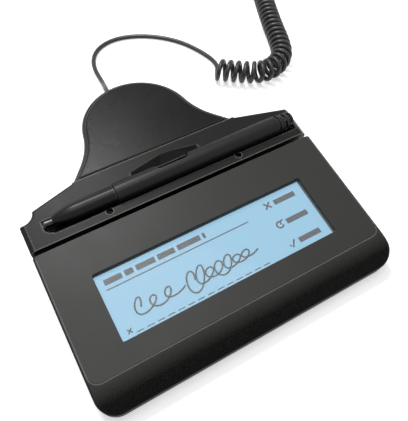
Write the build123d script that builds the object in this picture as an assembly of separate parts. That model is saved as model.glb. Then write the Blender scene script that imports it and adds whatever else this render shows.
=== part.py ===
from build123d import *
import os
from math import acos, asin, atan2, cos, degrees, pi, radians, sin, sqrt, tan

# Signature pad with a pen guard behind it, in millimetres.
# Two frames are used. The face frame lies in the pad's top face: x to the right, y to the rear
# along the face, z out of it, from the middle of the window's front edge. The table frame has
# Z up from the table. At the end all parts are moved so that the object stands over its origin.

# Face, underside and fits
FACE_TILT = 9.0  # degrees
FACE_HEIGHT = 18.4  # table to the face frame's origin
UNDERSIDE = 1.2
FLOOR_THICKNESS = 2.0
REACH = 400.0  # size of the blocks that cut or keep whole regions
OVERRUN = 1.0  # how far a cut or a joined piece runs on
TOUCH_FIT = 0.1  # located fit, on each side
SLIDE_FIT = 0.08
CORD_FIT = 0.05
FREE_GAP = 0.35  # between pieces that move against each other
LEVEL_SHARE = 0.92  # of a level face's upward direction, from which a face counts as top

# Pad
PAD_WIDTH = 152.4
PAD_FRONT = 25.0  # in front of the window's front edge
PAD_REAR = 52.8
PAD_PARTING = 5.4
PAD_CORNER = 9.0
PAD_REAR_CORNER = 1.5
NOSE_START = 11.0
NOSE_RADIUS = 21.0
SIDE_ROUND = 1.3
PAD_WALL = 2.0
LIP_THICKNESS = 1.2
LIP_RISE = 1.6
BOTTOM_CHAMFER = 0.6

# Overlay, window opening and window
OVERLAY_THICKNESS = 0.5
OVERLAY_SIDE_MARGIN = 1.6
OVERLAY_REAR_MARGIN = 0.6
OVERLAY_FRONT_MARGIN = 14.3
OVERLAY_FRONT_CORNER = 4.5
OVERLAY_REAR_CORNER = 2.5
OVERLAY_GAP = 0.2
OPENING_SIDE_MARGIN = 20.1
OPENING_FRONT = -0.3
OPENING_REAR = 32.9
OPENING_CORNER = 0.8
WINDOW_MARGIN = 3.0
WINDOW_THICKNESS = 0.8

# Display stack under the window
STACK_GAP = 0.05
BEZEL_SHEET = 0.3
BEZEL_VIEW_MARGIN = 0.8
DISPLAY_MARGIN = 2.2
DISPLAY_THICKNESS = 1.6
BACKLIGHT_THICKNESS = 2.5
BEZEL_TAIL = 0.3  # bezel skirt below the backlight
RIBBON_WIDTH = 24.0
RIBBON_THICKNESS = 0.25
RIBBON_BEND = 1.8
RIBBON_SLOT_PLAY = 0.8
RIBBON_OVERLAP = 3.0
SENSOR_BOARD_SIDE_MARGIN = 8.7
SENSOR_BOARD_FRONT = -8.0
SENSOR_BOARD_REAR = 37.6
SENSOR_BOARD_THICKNESS = 1.0
SENSOR_POST_RADIUS = 2.6
SENSOR_POST_INSET = 12.2  # from the pad's side
SENSOR_POST_YS = (-4.6, 34.2)
SENSOR_SCREW_BITE = 4.0

# Main board, level on posts of the bottom housing
BOARD_SIDE_MARGIN = 22.2
BOARD_FRONT = 11.0
BOARD_REAR = 45.0
BOARD_THICKNESS = 1.6
BOARD_POST_HEIGHT = 2.8
BOARD_POST_RADIUS = 2.8
BOARD_POST_INSET = 4.0
BOARD_SCREW_BITE = 3.2
CHIP_SIZE = 12.0
CHIP_THICKNESS = 1.4
CHIP_PLACE = (-14.0, 25.0)
CHIP_PIN_LENGTH = 1.2
CHIP_PIN_WIDTH = 0.5
CHIP_PIN_THICKNESS = 0.3
CHIP_PIN_PITCH = 1.3
CHIP_PIN_COUNT = 8
SOCKET_PITCH = 28.0
SOCKET_TO_HEADER = 19.0
SOCKET_Y = 41.4
SOCKET_DEPTH = 4.2
SOCKET_HEIGHT = 2.4
SOCKET_END = 1.4
SOCKET_BITE = 1.2
HEADER_INSET = 13.0  # from the board's end
HEADER_WIDTH = 8.0
HEADER_DEPTH = 5.0
HEADER_HEIGHT = 4.6
SMALL_PART = (2.0, 1.2, 1.1)
SMALL_PART_PITCH = 6.4
SMALL_PART_COUNT = 12
SMALL_PART_ROW_YS = (15.5, 34.5)
CAN_RADIUS = 2.4
CAN_HEIGHT = 3.4
CAN_PLACES = ((14.0, 24.0), (21.0, 24.0))

# Screws and their bosses
SHANK_RADIUS = 1.2
HEAD_RADIUS = 2.3
HEAD_HEIGHT = 1.0
HEAD_PLAY = 0.3
HOLE_PLAY = 0.15
PILOT_PLAY = 0.05
PILOT_SPARE = 0.6
BOSS_RADIUS = 3.2
SEAT_BOSS_RADIUS = 4.0
BOSS_SEAT = 5.8  # height above the table where lower and upper bosses meet
SEAT_THICKNESS = 2.4
SCREW_BITE = 5.0
FLAT_HEAD_HEIGHT = 0.8
PAD_SCREW_INSET = 9.2
PAD_SCREW_YS = (-13.0, 46.0)
WING_SCREW_INSET = 12.2
WING_SCREW_Y = 66.0
COVER_SCREW_PLACES = [(-18.0, 112.0), (18.0, 112.0)]

# Link plate under both housings
LINK_SIDE_MARGIN = 34.2
LINK_FRONT = 44.2
LINK_REAR = 71.0
LINK_THICKNESS = 1.0
LINK_SCREW_INSET = 9.0
LINK_SCREW_YS = (48.6, 66.5)
LINK_BOSS_HEIGHT = 4.4
LINK_SCREW_BITE = 4.0

# Feet
FOOT_RADIUS = 6.0
FOOT_POCKET = 0.6
FOOT_ROUND = 0.4
FOOT_INSET = 22.2
PAD_FOOT_Y = -9.0
WING_FOOT_Y = 71.0
REAR_FOOT_Y = 126.0

# Pen guard outline
GUARD_GAP = 1.9
GUARD_WALL = 2.2
GUARD_SIDE_BEVEL = 2.4
GUARD_REAR_ROUND = 1.5
WING_END = 72.6  # where the wing's rear edge meets the side
WING_ROOT_X = 45.0
WING_ROOT_Y = 80.6
TRAY_REAR = 80.3
BELL_ROOT = 75.0
NOTCH_RADIUS = 6.0
NOTCH_INSET = 2.0
NOTCH_Y = 75.6
CROWN_RADIUS = 28.8
CROWN_CENTRE = 100.6
FLARE_RADIUS = 40.0
FLARE_RISE = 13.9
FLARE_END = 221.1  # degrees
RIM_WIDTH = 1.7
RIM_DEPTH = 2.2

# Guard cover
COVER_DROP = 0.8
COVER_SLOPE = 3.7  # degrees
COVER_FRONT = 81.0
COVER_ROUND = 1.6
COVER_CORNER = 1.2
COVER_LEDGE = 2.4
SKIRT_DEPTH = 1.7
SKIRT_THICKNESS = 1.2

# Trough, its lip notches and the finger scoop
PEN_Y = 65.0
PEN_Z = 1.0
POCKET_END = -0.6  # against the nib's tip
POCKET_RADIUS = 2.6
POCKET_TAPER = 7.0  # from the front of the pen's cone
POCKET_MOUTH = ((0.0, 3.0), (1.6, 4.8), (3.6, 5.4))  # front half: distance from its end, radius
TROUGH_END_GAP = 0.6  # behind the pen's boot
LIP_BEVEL = 0.7
LIP_NOTCH_PLACES = ((-36.0, 58.3), (35.6, 58.3))
LIP_NOTCH_RADIUS = 1.75
LIP_NOTCH_DEPTH = 3.5
LIP_NOTCH_WALL = 1.4
SCOOP_RIM = ((-18.4, 73.3), (-0.2, 76.5), (7.1, 75.9), (19.2, 73.7))
SCOOP_END_XS = (-19.2, 19.7)
SCOOP_FRONT = 71.1
SCOOP_FLOOR_XS = (-2.4, 10.0)
SCOOP_SLOT_DEPTH = 3.4
SCOOP_DEPTH = 2.2
SCOOP_BACKING = 2.4
SCOOP_BACKING_XS = (-32.0, 33.0)

# Pen, along x about its own axis
PEN_FRONT_INSET = 10.2  # pad's side to the nib's tip
NIB_RADIUS = 1.05
NIB_LENGTH = 34.0
NIB_TRAVEL = 0.6
CONE_FRONT = 4.5  # this and the next places are distances from the nib's tip
CONE_FRONT_RADIUS = 1.9
GRIP_RADIUS = 4.35
GRIP_FULL = 16.9
GRIP_END = 35.7
GRIP_BORE = 3.1
GRIP_BORE_FRONT = 14.4
BARREL_START = 36.1
BARREL_RADIUS = 5.05
BARREL_BORE = 3.6
BARREL_EDGE = 0.3
SPIGOT_LENGTH = 8.0
FLAT_TURN = 27.0  # degrees, from the rear upwards
FLAT_DEPTH = 2.4
FLAT_XS = (-9.0, -4.8, 8.4, 13.0)
FLAT_RISE = 0.4
FLAT_WALL = 1.2
FLAT_WALL_XS = (-13.0, 16.0)
BOOT_INSET = 4.1  # pad's side to the boot's end
BOOT_LENGTH = 8.1
BOOT_GROOVE = 1.5
BOOT_RADIUS = 4.6
BOOT_END_RADIUS = 4.1
BOOT_BORE = 1.6
BOOT_BORE_DEPTH = 6.0
BOOT_ROUND = 0.6
BOOT_SLOT_WIDTH = 1.5
BOOT_SLOT_DEPTH = 1.1
BOOT_SLOTS = (
    (3.3, 26.0, 70.0),
    (3.3, 116.0, 80.0),
    (3.3, 256.0, 70.0),
    (6.1, 56.0, 100.0),
    (6.1, 236.0, 100.0),
)  # from the boot's start, degrees from the rear upwards, degrees long
FERRITE_START = 16.0
FERRITE_END_GAP = 4.0  # ahead of the nib's end
FERRITE_RADIUS = 2.2
SENSOR_CELL_REACH = 5.0  # past the nib's end
PEN_BOARD_LENGTH = 46.0
PEN_BOARD_WIDTH = 5.0
PEN_BOARD_THICKNESS = 1.0
PEN_BOARD_OFFSET = -1.0

# Gland, inner cord and clamp
CORD_DIAMETER = 3.0
GLAND_DEPTH = 29.9  # below the face
GLAND_SEAT = 0.6
GLAND_FLANGE_RADIUS = 4.7
GLAND_FLANGE = 1.4
GLAND_NECK_RADIUS = 3.1
GLAND_CONE_RADII = (3.4, 2.3)
GLAND_CONE_LENGTH = 6.2
GLAND_GRIP_RADIUS = 3.8
GLAND_GRIP = 1.5
GLAND_GRIP_GAP = 0.4
PASSAGE_HEIGHT = 9.9
PASSAGE_RADIUS = 2.1
PASSAGE_YS = (47.0, 66.0)
INNER_BEND_YS = (107.6, 84.0)
INNER_BEND_RADIUS = 12.0
CLAMP_Y = 118.6
CLAMP_LENGTH = 20.0
CLAMP_DEPTH = 6.0
CLAMP_PARTING = 6.9
CLAMP_THICKNESS = 2.9
CLAMP_SCREW_X = 6.6
CLAMP_SCREW_BITE = 2.8

# Cord outside, on the table
LEAD_RISE_RUN = 12.5
LEAD_POINTS = (
    (4.0, 171.0),
    (4.5, 194.0),
    (13.4, 208.8),
    (30.4, 214.0),
    (50.8, 206.3),
    (67.5, 190.4),
    (76.3, 171.9),
)
LEAD_LAST_RUN = 11.0
CURL_POINTS = (
    (73.0, 142.0),
    (90.2, 127.8),
    (102.6, 125.0),
    (114.2, 129.0),
    (122.8, 138.8),
    (134.5, 172.0),
    (156.5, 222.5),
)
CURL_RADIUS = 5.8
CURL_COUNT = 31
CURL_PITCH_SHARES = (1.12, 0.88)  # first and last pitch against the mean
RUN_LENGTH = 20.0
RUN_STEP = 6.0
COIL_OUTER = 19.5
COIL_SPACING = 3.6
COIL_RAISE = 1.0
COIL_LAYER_HALF_TURNS = 4
COIL_CLIMB_INSET = 3.1  # how far inside the rings the cord climbs
COIL_UPPER_OFFSET = 0.9
END_RUNS = ((10.0, 0.0), (18.0, -4.6), (15.0, 0.0), (12.0, 2.5), (9.0, 0.0))
TIE_CLEARANCE = 0.3
TIE_SIDE_CLEARANCE = 1.3
TIE_THICKNESS = 0.7
TIE_WIDTH = 5.0
BEND_SHARE = 0.45  # of the shorter run, taken by each bend of the cord
PARALLEL_SHARE = 0.000001  # below it two directions of the cord count as parallel
GAP_STEPS = 8
GAP_SKIP = 9.0  # distance along a wound cord inside which its gap isn't measured

# Plug
MOULD_LENGTH = 30.0
MOULD_WIDTH = 15.6
MOULD_HEIGHT = 8.0
MOULD_ROUND = 1.5
MOULD_NECK_LENGTH = 8.0
MOULD_NECK_RADII = (2.3, 3.4)
SHELL_WIDTH = 12.0
SHELL_HEIGHT = 4.5
SHELL_LENGTH = 12.0
SHELL_BITE = 6.0
SHELL_SHEET = 0.3
TONGUE_THICKNESS = 1.8
TONGUE_BASE = 5.0
TONGUE_SETBACK = 1.2


HALF_WIDTH = PAD_WIDTH / 2
OPENING_WIDTH = PAD_WIDTH - 2 * OPENING_SIDE_MARGIN
SENSOR_BOARD_WIDTH = PAD_WIDTH - 2 * SENSOR_BOARD_SIDE_MARGIN
SENSOR_POST_X = HALF_WIDTH - SENSOR_POST_INSET
BOARD_WIDTH = PAD_WIDTH - 2 * BOARD_SIDE_MARGIN
HEADER_X = BOARD_WIDTH / 2 - HEADER_INSET
SOCKET_XS = (HEADER_X - SOCKET_TO_HEADER - SOCKET_PITCH, HEADER_X - SOCKET_TO_HEADER)
LINK_WIDTH = PAD_WIDTH - 2 * LINK_SIDE_MARGIN
LINK_SCREW_X = LINK_WIDTH / 2 - LINK_SCREW_INSET
PAD_SCREW_PLACES = [(side * (HALF_WIDTH - PAD_SCREW_INSET), y) for y in PAD_SCREW_YS for side in (-1, 1)]
WING_SCREW_PLACES = [(side * (HALF_WIDTH - WING_SCREW_INSET), WING_SCREW_Y) for side in (-1, 1)]
PAD_FOOT_PLACES = [(side * (HALF_WIDTH - FOOT_INSET), PAD_FOOT_Y) for side in (-1, 1)]
WING_FOOT_PLACES = [(side * (HALF_WIDTH - FOOT_INSET), WING_FOOT_Y) for side in (-1, 1)]
GUARD_FOOT_PLACES = WING_FOOT_PLACES + [(0, REAR_FOOT_Y)]
NIB_TIP = PEN_FRONT_INSET - HALF_WIDTH
FERRITE_XS = (FERRITE_START, NIB_LENGTH - FERRITE_END_GAP)
SENSOR_CELL_END = NIB_LENGTH + SENSOR_CELL_REACH
BOOT_END = HALF_WIDTH - BOOT_INSET
BOOT_START = BOOT_END - BOOT_LENGTH
BARREL_END = BOOT_START - BOOT_GROOVE
FACE = Location((0, 0, FACE_HEIGHT)) * Location((0, 0, 0), (FACE_TILT, 0, 0))
PEN_AXIS = FACE * Location((0, PEN_Y, PEN_Z))
PEN_START = PEN_AXIS * Location((NIB_TIP, 0, 0))
WINDOW_BOTTOM = PAD_WALL + WINDOW_THICKNESS
DISPLAY_TOP = WINDOW_BOTTOM + STACK_GAP + BEZEL_SHEET + STACK_GAP
BACKLIGHT_TOP = DISPLAY_TOP + DISPLAY_THICKNESS + STACK_GAP
SENSOR_TOP = BACKLIGHT_TOP + BACKLIGHT_THICKNESS + BEZEL_TAIL
SENSOR_BOTTOM = SENSOR_TOP + SENSOR_BOARD_THICKNESS
FLOOR_TOP = UNDERSIDE + FLOOR_THICKNESS
BOARD_BOTTOM = FLOOR_TOP + BOARD_POST_HEIGHT
BOARD_TOP = BOARD_BOTTOM + BOARD_THICKNESS
OPENING_MIDDLE = (OPENING_FRONT + OPENING_REAR) / 2
OPENING_DEPTH = OPENING_REAR - OPENING_FRONT
CORD_RADIUS = CORD_DIAMETER / 2
GRIP_SPIGOT = BARREL_BORE - TOUCH_FIT
WALL_OUTSIDE = CROWN_CENTRE + CROWN_RADIUS + RIM_WIDTH
GLAND_START = WALL_OUTSIDE - GLAND_SEAT
GLAND_END = GLAND_START + GLAND_FLANGE + GLAND_CONE_LENGTH


# Small helpers

def block(x_size, y_range, z_range):
    size_y = y_range[1] - y_range[0]
    size_z = z_range[1] - z_range[0]
    place = Location((0, (y_range[0] + y_range[1]) / 2, (z_range[0] + z_range[1]) / 2))
    return place * Box(x_size, size_y, size_z)


def slab(shape, low, high):
    return shape & block(REACH, (-REACH / 2, REACH / 2), (low, high))


def post(place, radius, low, high):
    return Location((place[0], place[1], (low + high) / 2)) * Cylinder(radius, high - low)


def turned(points):
    return revolve(make_face(Polyline(*points, close=True)), Axis.X)


def group(shapes):
    return Compound([solid for shape in shapes for solid in shape.solids()])


def screw_up(place, seat, length):
    shank = post(place, SHANK_RADIUS, seat, seat + length)
    return shank + post(place, HEAD_RADIUS, seat - HEAD_HEIGHT, seat)


def screw_down(place, seat, length):
    shank = post(place, SHANK_RADIUS, seat - length, seat)
    return shank + post(place, HEAD_RADIUS, seat, seat + HEAD_HEIGHT)


def pilot(place, low, high):
    return post(place, SHANK_RADIUS + PILOT_PLAY, low, high)


def hole(place, low, high):
    return post(place, SHANK_RADIUS + HOLE_PLAY, low, high)


def seat_bosses(places):
    return [post(place, SEAT_BOSS_RADIUS, UNDERSIDE, BOSS_SEAT) for place in places]


def seat_cuts(places):
    seat = BOSS_SEAT - SEAT_THICKNESS
    pockets = [post(place, HEAD_RADIUS + HEAD_PLAY, -OVERRUN, seat) for place in places]
    return pockets + [hole(place, -OVERRUN, BOSS_SEAT + OVERRUN) for place in places]


def case_screws(places):
    seat = BOSS_SEAT - SEAT_THICKNESS
    return group(screw_up(place, seat, SEAT_THICKNESS + SCREW_BITE) for place in places)


# Pad housings

def pad_plan(inset):
    half = HALF_WIDTH - inset
    front = inset - PAD_FRONT
    rear = PAD_REAR - inset
    plan = Location((0, (front + rear) / 2)) * Rectangle(2 * half, rear - front)
    plan = fillet(plan.vertices().group_by(Axis.Y)[0], PAD_CORNER - inset)
    if PAD_REAR_CORNER > inset:
        plan = fillet(plan.vertices().group_by(Axis.Y)[-1], PAD_REAR_CORNER - inset)
    return plan


def pad_side(inset):
    radius = NOSE_RADIUS - inset
    reach = PAD_FRONT - NOSE_START + OVERRUN
    turn = asin(reach / radius)
    arc_end = (-NOSE_START - reach, radius * cos(turn) - NOSE_RADIUS)
    rear = PAD_REAR + OVERRUN
    arc = CenterArc((-NOSE_START, -NOSE_RADIUS), radius, degrees(pi / 2), degrees(turn))
    rest = Polyline(
        arc_end,
        (arc_end[0], -REACH / 2),
        (rear, -REACH / 2),
        (rear, -inset),
        (-NOSE_START, -inset),
    )
    return Plane.YZ * make_face(arc + rest)


def pad_block(inset):
    prism = extrude(pad_plan(inset), amount=-REACH / 2)
    return prism & extrude(pad_side(inset), amount=HALF_WIDTH, both=True)


def rim_edges(shape):
    tops = shape.faces().filter_by(lambda face: face.normal_at().Z > cos(pi / 4))
    edges = tops.edges()
    return [edge for edge in edges if sum(edge.is_same(other) for other in edges) == 1]


def overlay_plan(grow):
    half = HALF_WIDTH - OVERLAY_SIDE_MARGIN + grow
    front = OVERLAY_FRONT_MARGIN - PAD_FRONT - grow
    rear = PAD_REAR - OVERLAY_REAR_MARGIN + grow
    plan = Location((0, (front + rear) / 2)) * Rectangle(2 * half, rear - front)
    plan = fillet(plan.vertices().group_by(Axis.Y)[0], OVERLAY_FRONT_CORNER + grow)
    return fillet(plan.vertices().group_by(Axis.Y)[-1], OVERLAY_REAR_CORNER + grow)


def opening_cut():
    plan = Location((0, OPENING_MIDDLE)) * Rectangle(OPENING_WIDTH, OPENING_DEPTH)
    plan = fillet(plan.vertices(), OPENING_CORNER)
    return extrude(plan, amount=PAD_WALL + OVERRUN, both=True)


def sensor_places():
    return [(side * SENSOR_POST_X, y) for side in (-1, 1) for y in SENSOR_POST_YS]


def passage():
    axis_place = Location((HEADER_X, PASSAGE_YS[0], PASSAGE_HEIGHT), (-90, 0, 0))
    return axis_place * extrude(Circle(PASSAGE_RADIUS), amount=PASSAGE_YS[1] - PASSAGE_YS[0])


def top_housing():
    outer = pad_block(0)
    outer = fillet(rim_edges(outer), SIDE_ROUND)
    shell = outer - pad_block(PAD_WALL)
    shell += [post(place, SENSOR_POST_RADIUS, -SENSOR_TOP, -PAD_WALL) for place in sensor_places()]
    shell -= extrude(overlay_plan(OVERLAY_GAP), amount=OVERLAY_THICKNESS, both=True)
    shell -= opening_cut()
    depth = SENSOR_SCREW_BITE + PILOT_SPARE
    shell -= [pilot(place, -SENSOR_TOP, depth - SENSOR_TOP) for place in sensor_places()]
    shell = FACE * shell
    inside = FACE * pad_block(PAD_WALL / 2)
    for place in PAD_SCREW_PLACES:
        shell += post(place, BOSS_RADIUS, BOSS_SEAT, REACH / 2) & inside
        shell -= pilot(place, BOSS_SEAT - OVERRUN, BOSS_SEAT + SCREW_BITE + PILOT_SPARE)
    shell -= passage()
    return slab(shell, PAD_PARTING, REACH / 2)


def board_places():
    xs = BOARD_WIDTH / 2 - BOARD_POST_INSET
    ys = (BOARD_FRONT + BOARD_POST_INSET, BOARD_REAR - BOARD_POST_INSET)
    return [(side * xs, y) for side in (-1, 1) for y in ys]


def link_places(y):
    return [(-LINK_SCREW_X, y), (LINK_SCREW_X, y)]


def link_bosses(y):
    top = FLOOR_TOP + LINK_BOSS_HEIGHT
    return [post(place, BOSS_RADIUS, UNDERSIDE, top) for place in link_places(y)]


def link_cuts(y):
    top = UNDERSIDE + LINK_THICKNESS + LINK_SCREW_BITE + PILOT_SPARE
    cuts = [block(LINK_WIDTH + 2 * TOUCH_FIT, link_reach(), (0, UNDERSIDE + LINK_THICKNESS))]
    return cuts + [pilot(place, 0, top) for place in link_places(y)]


def link_reach():
    return (LINK_FRONT - TOUCH_FIT, LINK_REAR + TOUCH_FIT)


def foot_cuts(places):
    return [post(place, FOOT_RADIUS + TOUCH_FIT, 0, UNDERSIDE + FOOT_POCKET) for place in places]


def bottom_edges(shape):
    return shape.faces().sort_by(Axis.Z)[0].edges()


def bottom_housing():
    outer = slab(FACE * pad_block(0), UNDERSIDE, PAD_PARTING)
    outer = chamfer(bottom_edges(outer), BOTTOM_CHAMFER)
    lip_inset = PAD_WALL + TOUCH_FIT
    lip = slab(FACE * pad_block(lip_inset), FLOOR_TOP, PAD_PARTING + LIP_RISE)
    hollow = slab(FACE * pad_block(lip_inset + LIP_THICKNESS), FLOOR_TOP, REACH / 2)
    tray = outer + lip - hollow
    tray += seat_bosses(PAD_SCREW_PLACES)
    tray += [post(place, BOARD_POST_RADIUS, UNDERSIDE, BOARD_BOTTOM) for place in board_places()]
    tray += link_bosses(LINK_SCREW_YS[0])
    tray -= seat_cuts(PAD_SCREW_PLACES)
    low = BOARD_BOTTOM - BOARD_SCREW_BITE - PILOT_SPARE
    tray -= [pilot(place, low, BOARD_BOTTOM + OVERRUN) for place in board_places()]
    tray -= link_cuts(LINK_SCREW_YS[0])
    tray -= foot_cuts(PAD_FOOT_PLACES)
    return tray


def surface_overlay():
    sheet = extrude(overlay_plan(0), amount=-OVERLAY_THICKNESS)
    return FACE * (sheet - opening_cut())


# Display and boards

def layer(width, margin, top, thickness):
    y_range = (OPENING_FRONT - margin, OPENING_REAR + margin)
    return block(width, y_range, (-top - thickness, -top))


def window_glass():
    width = OPENING_WIDTH + 2 * WINDOW_MARGIN
    return FACE * layer(width, WINDOW_MARGIN, PAD_WALL, WINDOW_THICKNESS)


def display_layer(grow, top, thickness):
    margin = DISPLAY_MARGIN + grow
    return layer(OPENING_WIDTH + 2 * margin, margin, top, thickness)


def display_bezel():
    top = WINDOW_BOTTOM + STACK_GAP
    frame = display_layer(STACK_GAP + BEZEL_SHEET, top, SENSOR_TOP - top)
    below = top + BEZEL_SHEET
    frame -= display_layer(STACK_GAP, below, SENSOR_TOP - below + OVERRUN)
    width = OPENING_WIDTH + 2 * BEZEL_VIEW_MARGIN
    frame -= layer(width, BEZEL_VIEW_MARGIN, top - OVERRUN, 2 * OVERRUN)
    rear = OPENING_REAR + DISPLAY_MARGIN
    height = RIBBON_THICKNESS + RIBBON_SLOT_PLAY
    slot = Box(RIBBON_WIDTH + RIBBON_SLOT_PLAY, 2 * OVERRUN, height)
    frame -= Location((SOCKET_XS[0], rear, -display_ribbon_depth())) * slot
    return FACE * frame


def display_panel():
    return FACE * display_layer(0, DISPLAY_TOP, DISPLAY_THICKNESS)


def backlight_panel():
    return FACE * display_layer(0, BACKLIGHT_TOP, BACKLIGHT_THICKNESS)


def sensor_board():
    y_range = (SENSOR_BOARD_FRONT, SENSOR_BOARD_REAR)
    board = block(SENSOR_BOARD_WIDTH, y_range, (-SENSOR_BOTTOM, -SENSOR_TOP))
    board -= [hole(place, -SENSOR_BOTTOM - OVERRUN, 0) for place in sensor_places()]
    return FACE * board


def sensor_screws():
    length = SENSOR_BOARD_THICKNESS + SENSOR_SCREW_BITE
    return group(FACE * screw_up(place, -SENSOR_BOTTOM, length) for place in sensor_places())


def display_ribbon_depth():
    return DISPLAY_TOP + DISPLAY_THICKNESS / 2


def ribbon(x, start_y, depth):
    tilt = radians(FACE_TILT)
    start = (FACE * Location((x, start_y, -depth))).position
    bend_y = (SOCKET_Y - depth * sin(tilt)) / cos(tilt)
    bend = (FACE * Location((x, bend_y, -depth))).position
    end = Vector(x, bend.Y, BOARD_TOP + SOCKET_HEIGHT - SOCKET_BITE)
    path = FilletPolyline(start, bend, end, radius=RIBBON_BEND)
    section = Plane(origin=start, x_dir=(1, 0, 0), z_dir=path % 0)
    return sweep(section * Rectangle(RIBBON_WIDTH, RIBBON_THICKNESS), path=path)


def display_ribbon():
    return ribbon(SOCKET_XS[0], OPENING_REAR + DISPLAY_MARGIN, display_ribbon_depth())


def sensor_ribbon():
    start = SENSOR_BOARD_REAR - RIBBON_OVERLAP
    return ribbon(SOCKET_XS[1], start, SENSOR_BOTTOM + RIBBON_THICKNESS / 2)


def main_board():
    board = block(BOARD_WIDTH, (BOARD_FRONT, BOARD_REAR), (BOARD_BOTTOM, BOARD_TOP))
    return board - [hole(place, 0, BOARD_TOP + OVERRUN) for place in board_places()]


def board_screws():
    length = BOARD_THICKNESS + BOARD_SCREW_BITE
    return group(screw_down(place, BOARD_TOP, length) for place in board_places())


def controller_chip():
    middle = Location((*CHIP_PLACE, BOARD_TOP))
    body_size = (CHIP_SIZE, CHIP_SIZE, CHIP_THICKNESS)
    low = (Align.CENTER, Align.CENTER, Align.MIN)
    chip = Box(*body_size, align=low)
    pin_span = CHIP_SIZE + 2 * CHIP_PIN_LENGTH
    for number in range(CHIP_PIN_COUNT):
        y = (number - (CHIP_PIN_COUNT - 1) / 2) * CHIP_PIN_PITCH
        chip += Location((0, y, 0)) * Box(pin_span, CHIP_PIN_WIDTH, CHIP_PIN_THICKNESS, align=low)
    return middle * chip


def board_components():
    low = (Align.CENTER, Align.CENTER, Align.MIN)
    parts = []
    for y in SMALL_PART_ROW_YS:
        for number in range(SMALL_PART_COUNT):
            x = (number - (SMALL_PART_COUNT - 1) / 2) * SMALL_PART_PITCH
            parts.append(Location((x, y, BOARD_TOP)) * Box(*SMALL_PART, align=low))
    cans = [post(place, CAN_RADIUS, BOARD_TOP, BOARD_TOP + CAN_HEIGHT) for place in CAN_PLACES]
    return group(parts + cans)


def ribbon_sockets():
    low = (Align.CENTER, Align.CENTER, Align.MIN)
    width = RIBBON_WIDTH + 2 * SOCKET_END
    socket = Box(width, SOCKET_DEPTH, SOCKET_HEIGHT, align=low)
    slot_size = (RIBBON_WIDTH + 2 * CORD_FIT, RIBBON_THICKNESS + 2 * CORD_FIT, SOCKET_BITE + OVERRUN)
    slot = Location((0, 0, SOCKET_HEIGHT - SOCKET_BITE)) * Box(*slot_size, align=low)
    socket -= slot
    return group(Location((x, SOCKET_Y, BOARD_TOP)) * socket for x in SOCKET_XS)


def header_rear():
    return SOCKET_Y + SOCKET_DEPTH / 2


def cord_header():
    y_range = (header_rear() - HEADER_DEPTH, header_rear())
    header = block(HEADER_WIDTH, y_range, (BOARD_TOP, BOARD_TOP + HEADER_HEIGHT))
    return Location((HEADER_X, 0, 0)) * header


# Fasteners and plates under the pad and the guard

def link_plate():
    plate = block(LINK_WIDTH, (LINK_FRONT, LINK_REAR), (UNDERSIDE, UNDERSIDE + LINK_THICKNESS))
    for y in LINK_SCREW_YS:
        plate -= [flat_screw(place, TOUCH_FIT) for place in link_places(y)]
    return plate


def flat_screw(place, grow):
    top = UNDERSIDE + LINK_THICKNESS + LINK_SCREW_BITE
    head = Cone(HEAD_RADIUS + grow, SHANK_RADIUS + grow, FLAT_HEAD_HEIGHT)
    head = Location((*place, UNDERSIDE + FLAT_HEAD_HEIGHT / 2)) * head
    return head + post(place, SHANK_RADIUS + grow, UNDERSIDE, top)


def link_screws():
    places = link_places(LINK_SCREW_YS[0]) + link_places(LINK_SCREW_YS[1])
    return group(flat_screw(place, 0) for place in places)


def rubber_feet():
    feet = []
    for place in PAD_FOOT_PLACES + GUARD_FOOT_PLACES:
        foot = post(place, FOOT_RADIUS, 0, UNDERSIDE + FOOT_POCKET)
        feet.append(fillet(foot.edges().sort_by(Axis.Z)[0], FOOT_ROUND))
    return group(feet)


# Pen guard

def bell(grow, front):
    crown = CROWN_RADIUS + grow
    flare = FLARE_RADIUS - grow
    spread = sqrt((CROWN_RADIUS + FLARE_RADIUS) ** 2 - FLARE_RISE ** 2)
    join_angle = atan2(FLARE_RISE, spread)
    end_angle = radians(FLARE_END)
    middle_angle = (join_angle + pi + end_angle) / 2
    centre = Vector(spread, CROWN_CENTRE + FLARE_RISE)
    join = Vector(crown * cos(join_angle), CROWN_CENTRE + crown * sin(join_angle))
    middle = centre + Vector(flare * cos(middle_angle), flare * sin(middle_angle))
    end = centre + Vector(flare * cos(end_angle), flare * sin(end_angle))
    foot = Vector(end.X + (end.Y - front) * tan(end_angle), front)
    crown_arc = ThreePointArc(flip(join), (0, CROWN_CENTRE + crown), join)
    outline = crown_arc + ThreePointArc(join, middle, end)
    outline += Polyline(end, foot, flip(foot), flip(end))
    outline += ThreePointArc(flip(end), flip(middle), flip(join))
    return make_face(outline)


def flip(point):
    return Vector(-point.X, point.Y)


def guard_plan(inset):
    slope = (WING_ROOT_Y - WING_END) / (HALF_WIDTH - WING_ROOT_X)
    half = HALF_WIDTH - inset
    front = PAD_REAR + GUARD_GAP + inset
    root = WING_ROOT_Y - inset * sqrt(1 + slope ** 2)
    side = root - slope * (half - WING_ROOT_X)
    wings = make_face(Polyline(
        (-half, front),
        (half, front),
        (half, side),
        (WING_ROOT_X, root),
        (-WING_ROOT_X, root),
        (-half, side),
        close=True,
    ))
    plan = wings + bell(RIM_WIDTH - inset, BELL_ROOT)
    notch = Location((NOTCH_INSET - HALF_WIDTH, NOTCH_Y)) * Circle(NOTCH_RADIUS + inset)
    return plan - notch


def above_cover_plane(drop, front):
    place = Location((0, front, -drop)) * Location((0, 0, 0), (-COVER_SLOPE, 0, 0))
    return place * block(REACH, (0, REACH), (0, REACH))


def guard_block(inset):
    prism = Location((0, 0, -inset)) * extrude(guard_plan(inset), amount=-REACH / 2)
    return prism - above_cover_plane(COVER_DROP + RIM_DEPTH + inset, TRAY_REAR - inset)


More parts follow.
